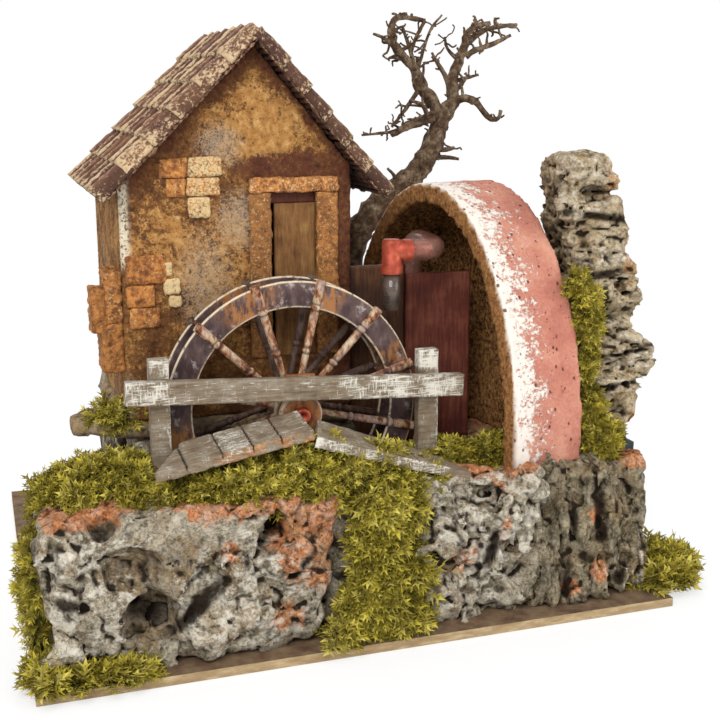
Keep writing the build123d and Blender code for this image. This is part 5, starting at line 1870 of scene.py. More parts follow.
def knot(centre: Point, size: float, seed: int) -> Skin:
    """A rough knot of a twig.

    Args:
        centre: its middle.
        size: its width.
        seed: number that fixes its irregularity.

    Returns:
        The skin.
    """
    grain = Grain(seed)
    reach = size * 0.62
    half = size / 2

    def relief(points: np.ndarray) -> np.ndarray:
        """Gnarled lumps."""
        return 0.22 * size * grain.layers(points, size * 0.45, 3, 0.6)

    low = tuple(np.subtract(centre, half + reach * 0.7))
    high = tuple(np.add(centre, half + reach * 0.7))
    return wrapped(lambda points: lump(points, centre, (half, half * 0.85, half * 0.95)), low, high,
                   size / 9, relief, half)


def dress_node(node: str, material: bpy.types.Material) -> None:
    """Gives a CAD node that stays in sight its finish.

    Args:
        node: the node's name.
        material: its finish.
    """
    for slot in bpy.data.objects[node].material_slots:
        slot.material = material


@dataclass
class BarkPillar(BarkRock):
    """Tall piece of cork bark: height, left edge and right edge of each level."""

    levels: tuple[tuple[float, float, float], ...] = ()

    def _bare(self, points: np.ndarray) -> np.ndarray:
        """Distance outside the pillar before its lumps and hollows."""
        heights = [level[0] for level in self.levels]
        left = np.interp(points[:, 2], heights, [level[1] for level in self.levels])
        right = np.interp(points[:, 2], heights, [level[2] for level in self.levels])
        corner = self.corner
        over = np.stack([
            np.abs(points[:, 0] - (left + right) / 2) - (right - left) / 2 + corner,
            *(np.abs(points[:, k] - (self.low[k] + self.high[k]) / 2) - (self.high[k] - self.low[k]) / 2
              + corner for k in (1, 2)),
        ], axis=1)
        return np.linalg.norm(np.maximum(over, 0), axis=1) + np.minimum(over.max(axis=1), 0) - corner

    def _relief(self, points: np.ndarray) -> np.ndarray:
        """Height of the crust: ledges one above another, with level fissures."""
        grain = Grain(self.seed)
        warped = points + 1.8 * np.stack([grain.smooth(points / 9 + k * 9.1) for k in range(3)], axis=1)
        height = 1.3 * grain.layers(warped, (20, 20, 9), 3, 0.5)
        height += 2.4 * grain.facets(warped, (19, 19, 7.5))
        height += 0.8 * grain.facets(warped + 33, (9, 9, 2.6))
        height += 0.45 * grain.layers(points + 50, (5, 5, 1.5), 3)
        height -= 2.8 * grain.cracks(warped + 7, (34, 34, 8.5), 3)
        height -= 1.3 * grain.cracks(warped + 77, (9, 9, 16), 2)
        return height * self.rough


PILLAR = BarkPillar(
    "bark_pillar", ("bark_pillar",), (238, 41.5, 66), (297, 73.5, 202), 67, corner=4.5, pitch=1.25, rough=0.9,
    gash_ease=0.8,
    levels=((66, 249, 276), (84, 248.5, 284), (104, 248.5, 292), (112, 249, 290), (120, 249, 280),
            (127, 249, 281), (131, 248, 284), (150, 247, 281), (158, 246, 272), (166, 244, 273),
            (186, 241.5, 269.5), (201, 242.5, 262)),
    lumps=(((285, 56, 104), (9, 12, 9)), ((246, 48, 178), (6, 6, 12)), ((266, 48, 140), (12, 6, 8)),
           ((260, 47, 158), (12, 5, 8))),
    hollows=(((256, 42, 184), (8, 7, 3.6)), ((271, 42, 141), (3, 5, 2.4)), ((250, 41, 166), (3, 4, 8))),
    gashes=(((248, 41, 146), (284, 42, 149), 1.2), ((252, 41, 128), (287, 44, 128.5), 1.7),
            ((250, 41, 108), (290, 44, 111), 1.2), ((252, 41, 92), (288, 44, 96), 1.3),
            ((240, 42, 176), (272, 42, 172), 1.1), ((262, 41, 140), (262, 41, 128), 1.0)),
    cuts=(((266, 46, 196), (5, 12, 12)), ((276, 44, 160), (4, 8, 14)), ((284, 46, 74), (6, 8, 8))),
    pale=(((250, 44, 190), (16, 12, 14)), ((268, 44, 154), (16, 10, 10)), ((264, 44, 108), (24, 10, 14))),
)


@dataclass
class CorkShelf:
    """The cork slab that carries the house, with a torn lobe at its left."""

    outline: tuple[tuple[float, float], ...] = (
        (49, 74), (37, 81), (25, 91), (24.5, 100), (30, 107), (46, 116), (46.6, 173), (56, 182), (150.7, 182),
        (150.7, 74))
    bottom: float = 79.0
    top: float = 87.0

    def _form(self, points: np.ndarray) -> np.ndarray:
        """Distance outside the slab."""
        x, y = points[:, 0], points[:, 1]
        nearest = np.full(len(points), 1e6, dtype=np.float32)
        inside = np.zeros(len(points), dtype=bool)
        for k, start in enumerate(self.outline):
            end = self.outline[(k + 1) % len(self.outline)]
            run = np.subtract(end, start)
            share = np.clip(((x - start[0]) * run[0] + (y - start[1]) * run[1]) / (run @ run), 0, 1)
            nearest = np.minimum(nearest, np.hypot(x - start[0] - share * run[0],
                                                   y - start[1] - share * run[1]))
            if start[1] != end[1]:
                crosses = (start[1] > y) != (end[1] > y)
                inside ^= crosses & (x < run[0] * (y - start[1]) / run[1] + start[0])
        flat = np.where(inside, -nearest, nearest)
        level = np.maximum(self.bottom - points[:, 2], points[:, 2] - self.top)
        over = np.stack([flat + 1, level + 1], axis=1)
        return np.linalg.norm(np.maximum(over, 0), axis=1) + np.minimum(over.max(axis=1), 0) - 1

    def build(self, material: bpy.types.Material) -> None:
        """Makes the slab.

        Args:
            material: its finish.
        """
        grain = Grain(131)

        def relief(points: np.ndarray) -> np.ndarray:
            """Level layers along its edge and a grained top."""
            height = 1.3 * grain.layers(points, (9, 9, 3), 3, 0.6)
            height = height - 1.8 * grain.cracks(points, (22, 22, 5), 2)
            under_house = (step_between(points[:, 0], 46, 50)
                           * step_between(points[:, 2], self.top - 2, self.top - 1))
            return np.where(points[:, 2] > self.top - 1.5, 0.5 * height, height) * (1 - under_house)

        skin = wrapped(self._form, (20, 70, 75), (154, 186, 91), 2.0, relief, 3)
        skin.marks["hollow"] = skin.hollowness(4)
        skin.marks["inner"] = skin.level(0.75)
        skin.marks["cut"] = 0.5 * step_between(Grain(133).layers(skin.points, 9, 3), -0.1, 0.5)
        skin.marks["pale"] = skin.level(0.2)
        skin.marks["depth"] = skin.level(0)
        skin.marks["crevice"] = skin.level(0)
        make_piece("house_shelf", skin, material, Body.MILL, ("house_shelf",))


@dataclass(frozen=True)
class WheelPaint:
    """Plum-brown paint on the rings, cream on their edges, with ochre and grey rubbed patches."""

    dark: Shade = (34, 22, 22)
    plum: Shade = (60, 40, 40)
    middle: Shade = (86, 66, 62)
    mauve: Shade = (132, 116, 112)
    cream: Shade = (214, 196, 168)
    ochre: Shade = (150, 98, 50)

    def dress(self, name: str = "wheel_paint") -> bpy.types.Material:
        """Makes the material; it reads the marks edge and worn."""
        recipe = Recipe(name)
        streak = recipe.noise(3.2, 5, 0.65, stretch=(1, 1, 2.2))
        cloud = recipe.noise(11, 4, 0.55, shift=3)
        colour = recipe.ramp(recipe.blend(0.45, streak, cloud), (0.3, self.dark), (0.46, self.plum),
                             (0.58, self.middle), (0.72, self.mauve))
        pale = recipe.fade(recipe.noise(7, 5, 0.65, shift=9), 0.56, 0.68)
        colour = recipe.blend(recipe.times(pale, 0.75), colour, (176, 164, 158))
        rubbed = recipe.noise(2.4, 5, 0.7, stretch=(1, 1, 3), shift=5)
        worn = recipe.times(recipe.mark("worn"), recipe.fade(rubbed, 0.4, 0.58))
        colour = recipe.blend(worn, colour, self.ochre)
        edge = recipe.times(recipe.mark("edge"), recipe.fade(recipe.noise(2.5, 4, 0.7, shift=13), 0.3, 0.5))
        colour = recipe.blend(edge, colour, self.cream)
        recipe.bump(streak, 0.25, 0.6)
        return recipe.done(colour, 0.6, 0.4)


@dataclass(frozen=True)
class TurnedWood:
    """Spokes turned on a lathe: cream with orange-brown streaks, and painted shade in their grooves."""

    cream: Shade = (174, 150, 122)
    streak: Shade = (146, 92, 56)
    dark: Shade = (66, 42, 38)

    def dress(self, name: str, shade: float) -> bpy.types.Material:
        """Makes the material.

        Args:
            name: its name.
            shade: 0 for the front spokes, 1 for the ones behind, which get painted shade.

        Returns:
            The material; it reads the mark groove.
        """
        recipe = Recipe(name)
        cloud = recipe.noise(2.6, 5, 0.68, stretch=(1, 1, 2))
        colour = recipe.ramp(cloud, (0.38, self.dark), (0.48, self.streak), (0.56, self.cream),
                             (0.75, (206, 190, 166)))
        mauve = recipe.fade(recipe.noise(9, 3, 0.6, shift=5), 0.5, 0.62)
        colour = recipe.blend(recipe.times(mauve, 0.5), colour, (150, 132, 128))
        # Painted shade in the grooves beside the beads.
        colour = recipe.blend(recipe.times(recipe.mark("groove"), 0.85), colour, self.dark)
        # Painted shade on the spokes behind the wheel's front.
        if shade > 0:
            colour = recipe.blend(0.8 * shade, colour, (48, 32, 30))
        recipe.bump(cloud, 0.25, 0.6)
        return recipe.done(colour, 0.7, 0.35)


@dataclass
class Waterwheel:
    """The wheel: two rings, turned spokes on both faces, paddles, hub and axle."""

    centre: tuple[float, float] = AXLE
    radius: float = 55.7
    rim: float = 11.4
    ring_faces: tuple[float, float] = (50.0, 64.0)
    thickness: float = 2.0
    spokes: int = 12
    phase: float = 17.0
    spoke_reach: float = 56.9
    beads: tuple[float, ...] = (0.46, 0.79)
    hub: float = 9.3
    axle: float = 3.5

    def _origin(self, y: float) -> Point:
        """The axle's middle at a place from the front edge."""
        return (self.centre[0], y, self.centre[1])

    def _ring(self, y: float) -> Skin:
        """One ring with softened edges."""
        inner, outer, soft, thick = self.radius - self.rim, self.radius, 0.45, self.thickness
        profile = [(inner + soft, 0), (inner + soft + 0.4, 0)]
        profile += [(inner + soft + (outer - inner - 2 * soft) * k / 8, 0) for k in range(1, 8)]
        profile += [(outer - soft - 0.4, 0), (outer - soft, 0)]
        profile += [(outer, soft), (outer, thick - soft), (outer - soft, thick)]
        profile += [(outer - soft - (outer - inner - 2 * soft) * k / 8, thick) for k in range(1, 9)]
        profile += [(inner, thick - soft), (inner, soft)]
        skin = turned_part(profile[::-1], self._origin(y), (0, 1, 0), 168, closed=True)
        skin.faces = skin.faces[:, ::-1]
        grain = Grain(int(500 + y))
        skin.points += skin.normals() * (0.14 * grain.layers(skin.points, 4, 3))[:, None]
        across = skin.marks["across"]
        near = np.minimum(np.abs(across - inner), np.abs(across - outer))
        skin.marks["edge"] = step_between(near, 0.9, 0.3) * step_between(skin.marks["along"], 0.9, 0.4)
        angle = np.degrees(np.arctan2(skin.points[:, 2] - self.centre[1], skin.points[:, 0] - self.centre[0]))
        worn = np.zeros(len(across))
        for middle, half in ((112, 14), (22, 8), (70, 6), (-60, 20), (200, 16)):
            off = np.abs((angle - middle + 180) % 360 - 180)
            worn = np.maximum(worn, step_between(off, half * 1.3, half * 0.5))
        skin.marks["worn"] = worn
        del skin.marks["along"], skin.marks["across"]
        return skin

    def _spoke_profile(self) -> list[tuple[float, float]]:
        """Radius along a spoke from the hub to its tip."""
        reach = self.spoke_reach
        places = np.linspace(7.0, reach - 0.3, 74)
        radius = np.interp(places / reach, [0.1, 0.3, 0.46, 0.6, 0.79, 0.9, 1],
                           [1.25, 1.4, 1.65, 1.75, 1.85, 2.1, 2.15])
        for bead in self.beads:
            off = np.abs(places / reach - bead) * reach
            radius = (radius + 0.42 * step_between(off, 1.0, 0.2)
                      - 0.35 * step_between(np.abs(off - 1.4), 0.7, 0.0))
        profile = [(0.02, 7.0)] + [(float(r), float(s)) for r, s in zip(radius, places)]
        return profile + [(1.5, reach), (0.02, reach)]

    def _spokes(self, y: float, sides: int) -> Skin:
        """The turned spokes on one face."""
        profile = self._spoke_profile()
        skins = []
        for turn in range(self.spokes):
            angle = math.radians(self.phase + 360 / self.spokes * turn)
            skin = turned_part(profile, self._origin(y), (math.cos(angle), 0, math.sin(angle)), sides)
            share = skin.marks["along"] / self.spoke_reach
            # The groove mark: where painted shade darkens the grooves beside the beads.
            groove = np.zeros(len(share))
            for bead in self.beads:
                off = np.abs(share - bead) * self.spoke_reach
                groove = np.maximum(groove, step_between(np.abs(off - 1.4), 0.8, 0.2))
            skin.marks = {"groove": groove}
            skins.append(skin)
        return joined(skins)

    def _paddle(self, angle: float) -> Skin:
        """One paddle board between the rings."""
        centre = np.array(self._origin(0))
        along = np.array([math.cos(angle), 0, math.sin(angle)])
        across = np.array([-math.sin(angle), 0, math.cos(angle)])

        def corner(reach: float, y: float) -> Point:
            """A corner of the paddle's middle sheet."""
            place = centre + reach * along
            return (place[0], y, place[2])

        low, high = self.ring_faces[0] + self.thickness, self.ring_faces[1]
        return slab_between(
            (corner(self.radius - 13, low), corner(self.radius - 0.3, low), corner(self.radius - 0.3, high),
             corner(self.radius - 13, high)), 1.5, 1.6, across, int(540 + math.degrees(angle)), 0.12)

    def build(self, paint: bpy.types.Material, front: bpy.types.Material, back: bpy.types.Material,
              axle_finish: bpy.types.Material, hub_finish: bpy.types.Material) -> None:
        """Makes the wheel.

        Args:
            paint: finish of the rings and paddles.
            front: finish of the front spokes.
            back: finish of the back spokes.
            axle_finish: finish of the axle.
            hub_finish: finish of the hub.
        """
        rings = joined([self._ring(y) for y in self.ring_faces])
        make_piece("wheel_rings", rings, paint, Body.WHEEL, ("wheel_rings",))
        front_face, back_face = self.ring_faces[0], self.ring_faces[1] + self.thickness
        for name, y, sides, finish in (("wheel_front_spokes", front_face, 20, front),
                                       ("wheel_back_spokes", back_face, 14, back)):
            make_piece(name, self._spokes(y, sides), finish, Body.WHEEL, (name,))
        paddles = joined([self._paddle(math.radians(self.phase + 360 / self.spokes * turn))
                          for turn in range(self.spokes)])
        paddles.marks = {"edge": paddles.level(0), "worn": paddles.level(0.4)}
        make_piece("wheel_paddles", paddles, paint, Body.WHEEL, ("wheel_paddles",))
        bore, out = self.axle + 0.05, self.hub
        hub = turned_part(
            [(bore, 46), (out - 1.4, 46), (out - 0.4, 46.3), (out, 47), (out, 49.6), (out - 0.7, 50.4),
             (out - 0.7, 65.6), (out, 66.4), (out, 69), (out - 0.5, 70), (bore, 70)],
            self._origin(0), (0, 1, 0), 64, closed=True)
        hub.marks = {"edge": step_between(np.abs(hub.marks["across"] - out), 0.8, 0.1),
                     "worn": hub.level(0.5)}
        make_piece("wheel_hub", hub, hub_finish, Body.WHEEL, ("wheel_hub",))
        r = self.axle
        axle = turned_part(
            [(0.02, 35.9), (1.2, 35.9), (1.5, 35.2), (r - 0.7, 35.0), (r - 0.15, 35.15), (r, 35.7),
             (r, 74.6), (r - 0.3, 74.95), (0.02, 74.95)], self._origin(0), (0, 1, 0), 40)
        axle.marks = {}
        make_piece("wheel_axle", axle, axle_finish, Body.WHEEL, ("wheel_axle",))


@dataclass(frozen=True)
class WeatheredWood:
    """Grey-brown wood with white dragged over it along and across the grain."""

    dark: Shade = (72, 62, 52)
    brown: Shade = (122, 106, 86)
    grey: Shade = (150, 142, 128)
    white: Shade = (212, 207, 194)
    raw: Shade = (166, 120, 78)

    def dress(self, name: str = "weathered_wood") -> bpy.types.Material:
        """Makes the material; it reads the marks white, raw and hollow."""
        recipe = Recipe(name)
        fibre = recipe.noise(1.3, 5, 0.68, stretch=(9, 1, 1))
        cloud = recipe.noise(8, 4, 0.6, shift=7)
        colour = recipe.ramp(recipe.blend(0.4, fibre, cloud), (0.3, self.dark), (0.48, self.brown),
                             (0.68, self.grey))
        raw = recipe.ramp(recipe.noise(1.4, 4, 0.7, stretch=(2, 1, 1), shift=9), (0.3, (112, 66, 36)),
                          (0.55, self.raw), (0.8, (214, 178, 130)))
        colour = recipe.blend(recipe.mark("raw"), colour, raw)
        drag = recipe.noise(0.7, 4, 0.7, stretch=(11, 1, 1), shift=3)
        cross = recipe.noise(0.7, 4, 0.7, stretch=(1, 1, 7), shift=4)
        both = recipe.sum("MAXIMUM", drag, recipe.sum("SUBTRACT", cross, 0.02))
        cover = recipe.plus(both, recipe.times(recipe.mark("white"), 0.22))
        cover = recipe.plus(cover, recipe.fade(cloud, 0.35, 0.65, -0.06, 0.06))
        share = recipe.fade(cover, 0.62, 0.76, 0, 0.92)
        colour = recipe.blend(share, colour, self.white)
        # Painted shade in the wood's hollows.
        colour = recipe.shaded(colour, 0.04, 0.45, 0.9, (34, 28, 22))
        recipe.bump(recipe.plus(fibre, recipe.times(share, 0.3)), 0.35, 0.8)
        return recipe.done(colour, 0.85, 0.25)


@dataclass
class Timberwork:
    """The rail, its posts, the leaning planks and the bearings."""

    def _finish(self, skin: Skin, white: np.ndarray | float, raw: np.ndarray | float = 0.0) -> Skin:
        """Adds the paint marks to a board."""
        skin.marks["white"] = skin.level(0) + white
        skin.marks["raw"] = skin.level(0) + raw
        return skin

    def _rail(self) -> Skin:
        """The rail across the front of the wheel."""
        corners = ((43, 33, 115.6), (189, 33, 108), (189, 37.5, 108), (43, 37.5, 115.6))
        skin = slab_between(corners, 9.6, 0.8, (0.05, 0, 1), 601, 0.16)
        x = skin.points[:, 0]
        white = 0.3 + 0.4 * step_between(x, 66, 56) + 0.35 * step_between(x, 118, 160)
        white -= 0.2 * step_between(np.abs(x - 92), 30, 12)
        return self._finish(skin, np.clip(white, 0, 1))

    def _post(self, x0: float, x1: float, top: float, seed: int, pale: float) -> Skin:
        """One post behind the rail."""
        corners = ((x0, 37.6, 66), (x0, 37.6, top), (x0, 43, top), (x0, 43, 66))
        skin = slab_between(corners, x1 - x0, 0.9, (-1, 0, 0), seed, 0.25)
        z, x = skin.points[:, 2], skin.points[:, 0]
        white = pale * step_between(z, top - 11, top - 6) + 0.9 * step_between(np.abs(x - x1), 1.2, 0.3)
        return self._finish(skin, np.clip(white, 0, 1))

    def _left_plank(self) -> Skin:
        """The left leaning plank with four saw lines and a torn front edge."""
        corners = ((49.7, 13.6, 83.2), (114.7, 13.6, 94.9), (113.6, 35.2, 97.8), (64.5, 35.2, 88.8))
        skin = slab_between(corners, 4.2, 0.75, (-0.17, 0.12, 1), 611, 0.34, (0.2, 0.43, 0.62, 0.8),
                            frayed=1.6)
        side = skin.marks["side"]
        share = skin.marks["along"]
        raw = (side * step_between(Grain(613).layers(skin.points, 8, 2), -0.35, 0.1)
               * step_between(share, 0.3, 0.5))
        white = (0.1 + 0.4 * step_between(np.abs(share - 0.5), 0.22, 0.05)
                 + 0.4 * step_between(share, 0.94, 0.99))
        return self._finish(skin, np.clip(white - 0.6 * raw, 0, 1), np.clip(raw, 0, 1))

    def _right_plank(self) -> Skin:
        """The right leaning plank with white paint along its front edge."""
        corners = ((116.2, 13.4, 91.6), (184.6, 13.4, 69.6), (190.5, 34.6, 66.2), (122.5, 34.6, 93.2))
        skin = slab_between(corners, 4.2, 0.75, (0.3, 0.05, 1), 617, 0.4, (0.66,), frayed=1.2)
        side = skin.marks["side"]
        share = skin.marks["along"]
        top = step_between(side, 0.25, 0.75)
        white = 0.05 + 0.6 * top * step_between(share, 1.0, 0.7) + 0.4 * step_between(share, 0.08, 0.0)
        return self._finish(skin, np.clip(white, 0, 1), 0.0)

    def build(self, wood: bpy.types.Material, disc: bpy.types.Material) -> None:
        """Makes the timberwork.

        Args:
            wood: finish of the boards.
            disc: finish of the round bearings.
        """
        posts = joined([self._post(53, 61, 123, 621, 0.45), self._post(169.5, 178.5, 119, 623, 1.1)])
        for name, skin in (("front_rail", self._rail()), ("rail_posts", posts),
                           ("cover_plank_left", self._left_plank()),
                           ("cover_plank_right", self._right_plank())):
            make_piece(name, skin, wood, Body.MILL, (name,))
        axle = (AXLE[0], 0, AXLE[1])
        bearing = turned_part([(BORE, 37.6), (8.2, 37.6), (9.1, 38.1), (9.3, 38.8), (9.3, 41), (8.9, 41.5),
                               (BORE, 41.5)], axle, (0, 1, 0), 64, closed=True)
        across = bearing.marks["across"]
        bearing.marks = {"edge": step_between(across, 8.3, 9.1), "worn": np.full(len(across), 0.9)}
        hanger = slab_between(
            ((110.5, 37.7, 102), (110.5, 37.7, 112), (110.5, 41.3, 112), (110.5, 41.3, 102)), 12, 1.2,
            (-1, 0, 0), 631, 0.1)
        hanger.marks = {"edge": hanger.level(0), "worn": hanger.level(0.9)}
        make_piece("front_bearing", joined([bearing, hanger]), disc, Body.MILL, ("front_bearing",))
        back = turned_part([(BORE, 70), (6.6, 70), (7, 70.4), (7, 75), (BORE, 75)], axle, (0, 1, 0), 48,
                           closed=True)
        back.marks = {"edge": back.level(0), "worn": back.level(0.4)}
        make_piece("back_bearing", back, disc, Body.MILL, ("back_bearing",))


@dataclass(frozen=True)
class PinkClay:
    """Pink clay arch: pores and a ragged white band outside, rough brown inside."""

    pink: Shade = (196, 138, 116)
    rose: Shade = (180, 116, 98)
    white: Shade = (224, 218, 208)
    rim: Shade = (140, 96, 54)
    inner: Shade = (88, 58, 34)

    def dress(self) -> bpy.types.Material:
        """Makes the material; it reads the marks outer, band, rim and hollow."""
        recipe = Recipe("pink_clay")
        cloud = recipe.noise(14, 4, 0.6)
        outer = recipe.ramp(recipe.blend(0.35, cloud, recipe.noise(1.6, 4, 0.7, shift=4)),
                            (0.3, (160, 96, 82)), (0.46, self.rose), (0.6, self.pink),
                            (0.78, (210, 158, 134)))
        pores = recipe.fade(recipe.cells(4.2, stretch=(1, 1, 1.3)), 0.2, 0.12)
        pores = recipe.times(pores, recipe.fade(recipe.noise(5, 3, 0.6, shift=8), 0.42, 0.52))
        small = recipe.fade(recipe.cells(1.9, shift=6), 0.22, 0.12)
        small = recipe.times(small, recipe.fade(recipe.noise(4, 3, 0.6, shift=18), 0.5, 0.6))
        pores = recipe.sum("MAXIMUM", pores, small)
        chips = recipe.blend(0.4, recipe.noise(1.7, 6, 0.8, stretch=(1.3, 1, 1), shift=12),
                             recipe.noise(6, 5, 0.7, shift=22))
        cover = recipe.plus(chips, recipe.times(recipe.mark("band"), 0.27))
        share = recipe.fade(cover, 0.6, 0.66)
        outer = recipe.blend(recipe.times(share, 0.93), outer, self.white)
        outer = recipe.blend(recipe.times(pores, 0.9), outer, (88, 42, 38))
        rough = recipe.noise(1.9, 5, 0.75, shift=15)
        inner = recipe.ramp(rough, (0.38, (34, 20, 13)), (0.46, self.inner), (0.55, (160, 114, 62)),
                            (0.7, (204, 158, 98)))
        rim = recipe.ramp(rough, (0.34, (78, 46, 26)), (0.5, self.rim), (0.68, (176, 130, 78)))
        inner = recipe.blend(recipe.mark("rim"), inner, rim)
        colour = recipe.blend(recipe.mark("outer"), inner, outer)
        # Painted shade in the clay's hollows.
        colour = recipe.shaded(colour, 0.08, 0.6, 0.85, (34, 20, 14))
        height = recipe.sum("SUBTRACT", recipe.plus(recipe.times(share, 0.35), recipe.noise(1.0, 4, 0.7)),
                            recipe.times(pores, 0.9))
        recipe.bump(height, 0.4, 0.8)
        return recipe.done(colour, 0.9, 0.25)


@dataclass
class ClayArch:
    """Half an elliptic barrel that stands on the rocks with its mouth to the left."""

    origin: tuple[float, float] = (205.6, 15.2)
    turn: float = 12.0
    half_span: float = 72.0
    rise: float = 111.0
    leg: float = 10.0
    length: float = 38.0
    wall: float = 9.0
    foot: float = 66.0

    def _local(self, points: np.ndarray) -> tuple[np.ndarray, np.ndarray, np.ndarray]:
        """Places across the span, along the barrel and over the foot."""
        turn = math.radians(self.turn)
        x, y = points[:, 0] - self.origin[0], points[:, 1] - self.origin[1]
        return (-math.sin(turn) * x + math.cos(turn) * y - self.half_span,
                math.cos(turn) * x + math.sin(turn) * y, points[:, 2] - self.foot)

    def _shell(self, across: np.ndarray, height: np.ndarray, inset: float) -> np.ndarray:
        """Distance outside the ellipse on its legs."""
        wide, tall = self.half_span - inset, self.rise - inset
        over = np.maximum(height - self.leg, 0)
        size = np.sqrt((across / wide) ** 2 + (over / tall) ** 2)
        slope = np.sqrt((across / wide ** 2) ** 2 + (over / tall ** 2) ** 2)
        return size * (size - 1) / np.maximum(slope, 1e-4)

    def build(self, material: bpy.types.Material) -> None:
        """Makes the arch.

        Args:
            material: its finish.
        """
        grain = Grain(701)

        def form(points: np.ndarray) -> np.ndarray:
            """Distance outside the bare shell."""
            across, along, height = self._local(points)
            walls = np.maximum(self._shell(across, height, 0), -self._shell(across, height, self.wall))
            return np.maximum.reduce([walls, -along, along - self.length, -height])

        def relief(points: np.ndarray) -> np.ndarray:
            """Smooth outside, rough inside."""
            across, _, height = self._local(points)
            outside = self._shell(across, height, self.wall / 2) > 0
            soft = 0.35 * grain.layers(points, 9, 3)
            rough = 0.9 * grain.layers(points, 4, 4, 0.62) + 0.9 * (grain.knobs(points, 2.6) - 0.5)
            return np.where(outside, soft, rough)

        skin = wrapped(form, (166, 12, 64), (246, 168, 189), 1.5, relief, 2.2)
        across, along, height = self._local(skin.points)
        middle = self._shell(across, height, self.wall / 2)
        skin.marks["hollow"] = skin.hollowness(4)
        skin.marks["outer"] = step_between(middle, 3.2, 3.9) * step_between(along, 0.1, 0.8)
        reach = 27 + 6 * step_between(height, 70, 100) + 11 * grain.layers(skin.points + 70, (16, 16, 8), 3)
        skin.marks["band"] = np.clip(0.8 - 0.8 * along / reach, 0, 1) + 0.5 * step_between(along, 2.4, 0.6)
        skin.marks["rim"] = step_between(along, 2.2, 0.4) * 0.9 + 0.5 * step_between(along, 14, 4)
        skin.marks["rim"] = np.clip(skin.marks["rim"], 0, 1)
        make_piece("arch_shell", skin, material, Body.MILL, ("arch_shell",))
        self._end(grain, material)

    def _end(self, grain: Grain, material: bpy.types.Material) -> None:
        """Makes the thin rough sheet that closes the arch behind."""

        def form(points: np.ndarray) -> np.ndarray:
            """Distance outside the bare sheet."""
            across, along, height = self._local(points)
            return np.maximum.reduce([self._shell(across, height, self.wall - 0.5),
                                      self.length - 3 - along, along - self.length + 0.2, -height])

        skin = wrapped(form, (205, 20, 64), (246, 166, 179), 1.6,
                       lambda points: 0.8 * grain.layers(points, 4, 4, 0.62)
                       + 0.8 * (grain.knobs(points, 2.6) - 0.5), 2)
        _, _, height = self._local(skin.points)
        skin.marks["hollow"] = skin.hollowness(4)
        skin.marks["outer"] = skin.level(0)
        skin.marks["band"] = skin.level(0)
        skin.marks["rim"] = 0.55 * step_between(height, 78, 20)
        make_piece("arch_end", skin, material, Body.MILL, ("arch_end",))


@dataclass(frozen=True)
class StreakedBoard:
    """A thin painted board, streaked downward."""

    dark: Shade
    main: Shade
    light: Shade

    def dress(self, name: str) -> bpy.types.Material:
        """Makes the material; it reads the mark hollow."""
        recipe = Recipe(name)
        streak = recipe.noise(1.6, 5, 0.65, stretch=(1, 1, 9))
        cloud = recipe.noise(14, 4, 0.6, shift=5)
        colour = recipe.ramp(recipe.blend(0.5, streak, cloud), (0.3, self.dark), (0.5, self.main),
                             (0.72, self.light))
        speck = recipe.fade(recipe.noise(1.2, 4, 0.75, shift=8), 0.68, 0.76)
        colour = recipe.blend(recipe.times(speck, 0.6), colour, (196, 134, 108))
        # Painted shade in the board's hollows.
        colour = recipe.shaded(colour, 0.03, 0.35, 0.7, self.dark)
        recipe.bump(streak, 0.3, 0.7)
        return recipe.done(colour, 0.7, 0.3)


@dataclass(frozen=True)
class PolishedCopper:
    """Bright copper with faint draw lines."""

    copper: Shade = (168, 74, 52)

    def dress(self) -> bpy.types.Material:
        """Makes the material."""
        recipe = Recipe("copper")
        cloud = recipe.noise(5, 4, 0.6)
        colour = recipe.ramp(cloud, (0.3, (132, 50, 36)), (0.55, self.copper), (0.8, (200, 116, 88)))
        recipe.bump(recipe.noise(0.8, 3, 0.6), 0.1, 0.4)
        recipe.shader.inputs["Metallic"].default_value = 0.5
        return recipe.done(colour, 0.5, 0.4)


@dataclass(frozen=True)
class ClearPlastic:
    """Clear plastic tube, tinted by what it holds."""

    shade: Shade = (118, 74, 62)
    glint: Shade = (176, 128, 112)
    cover: float = 0.34

    def dress(self, name: str) -> bpy.types.Material:
        """Makes the material."""
        recipe = Recipe(name)
        colour = recipe.ramp(recipe.noise(6, 3, 0.5), (0.3, self.shade), (0.7, self.glint))
        recipe.bump(recipe.noise(4, 2, 0.5), 0.2, 0.3)
        recipe.shader.inputs["Alpha"].default_value = self.cover
        return recipe.done(colour, 0.12, 0.6)


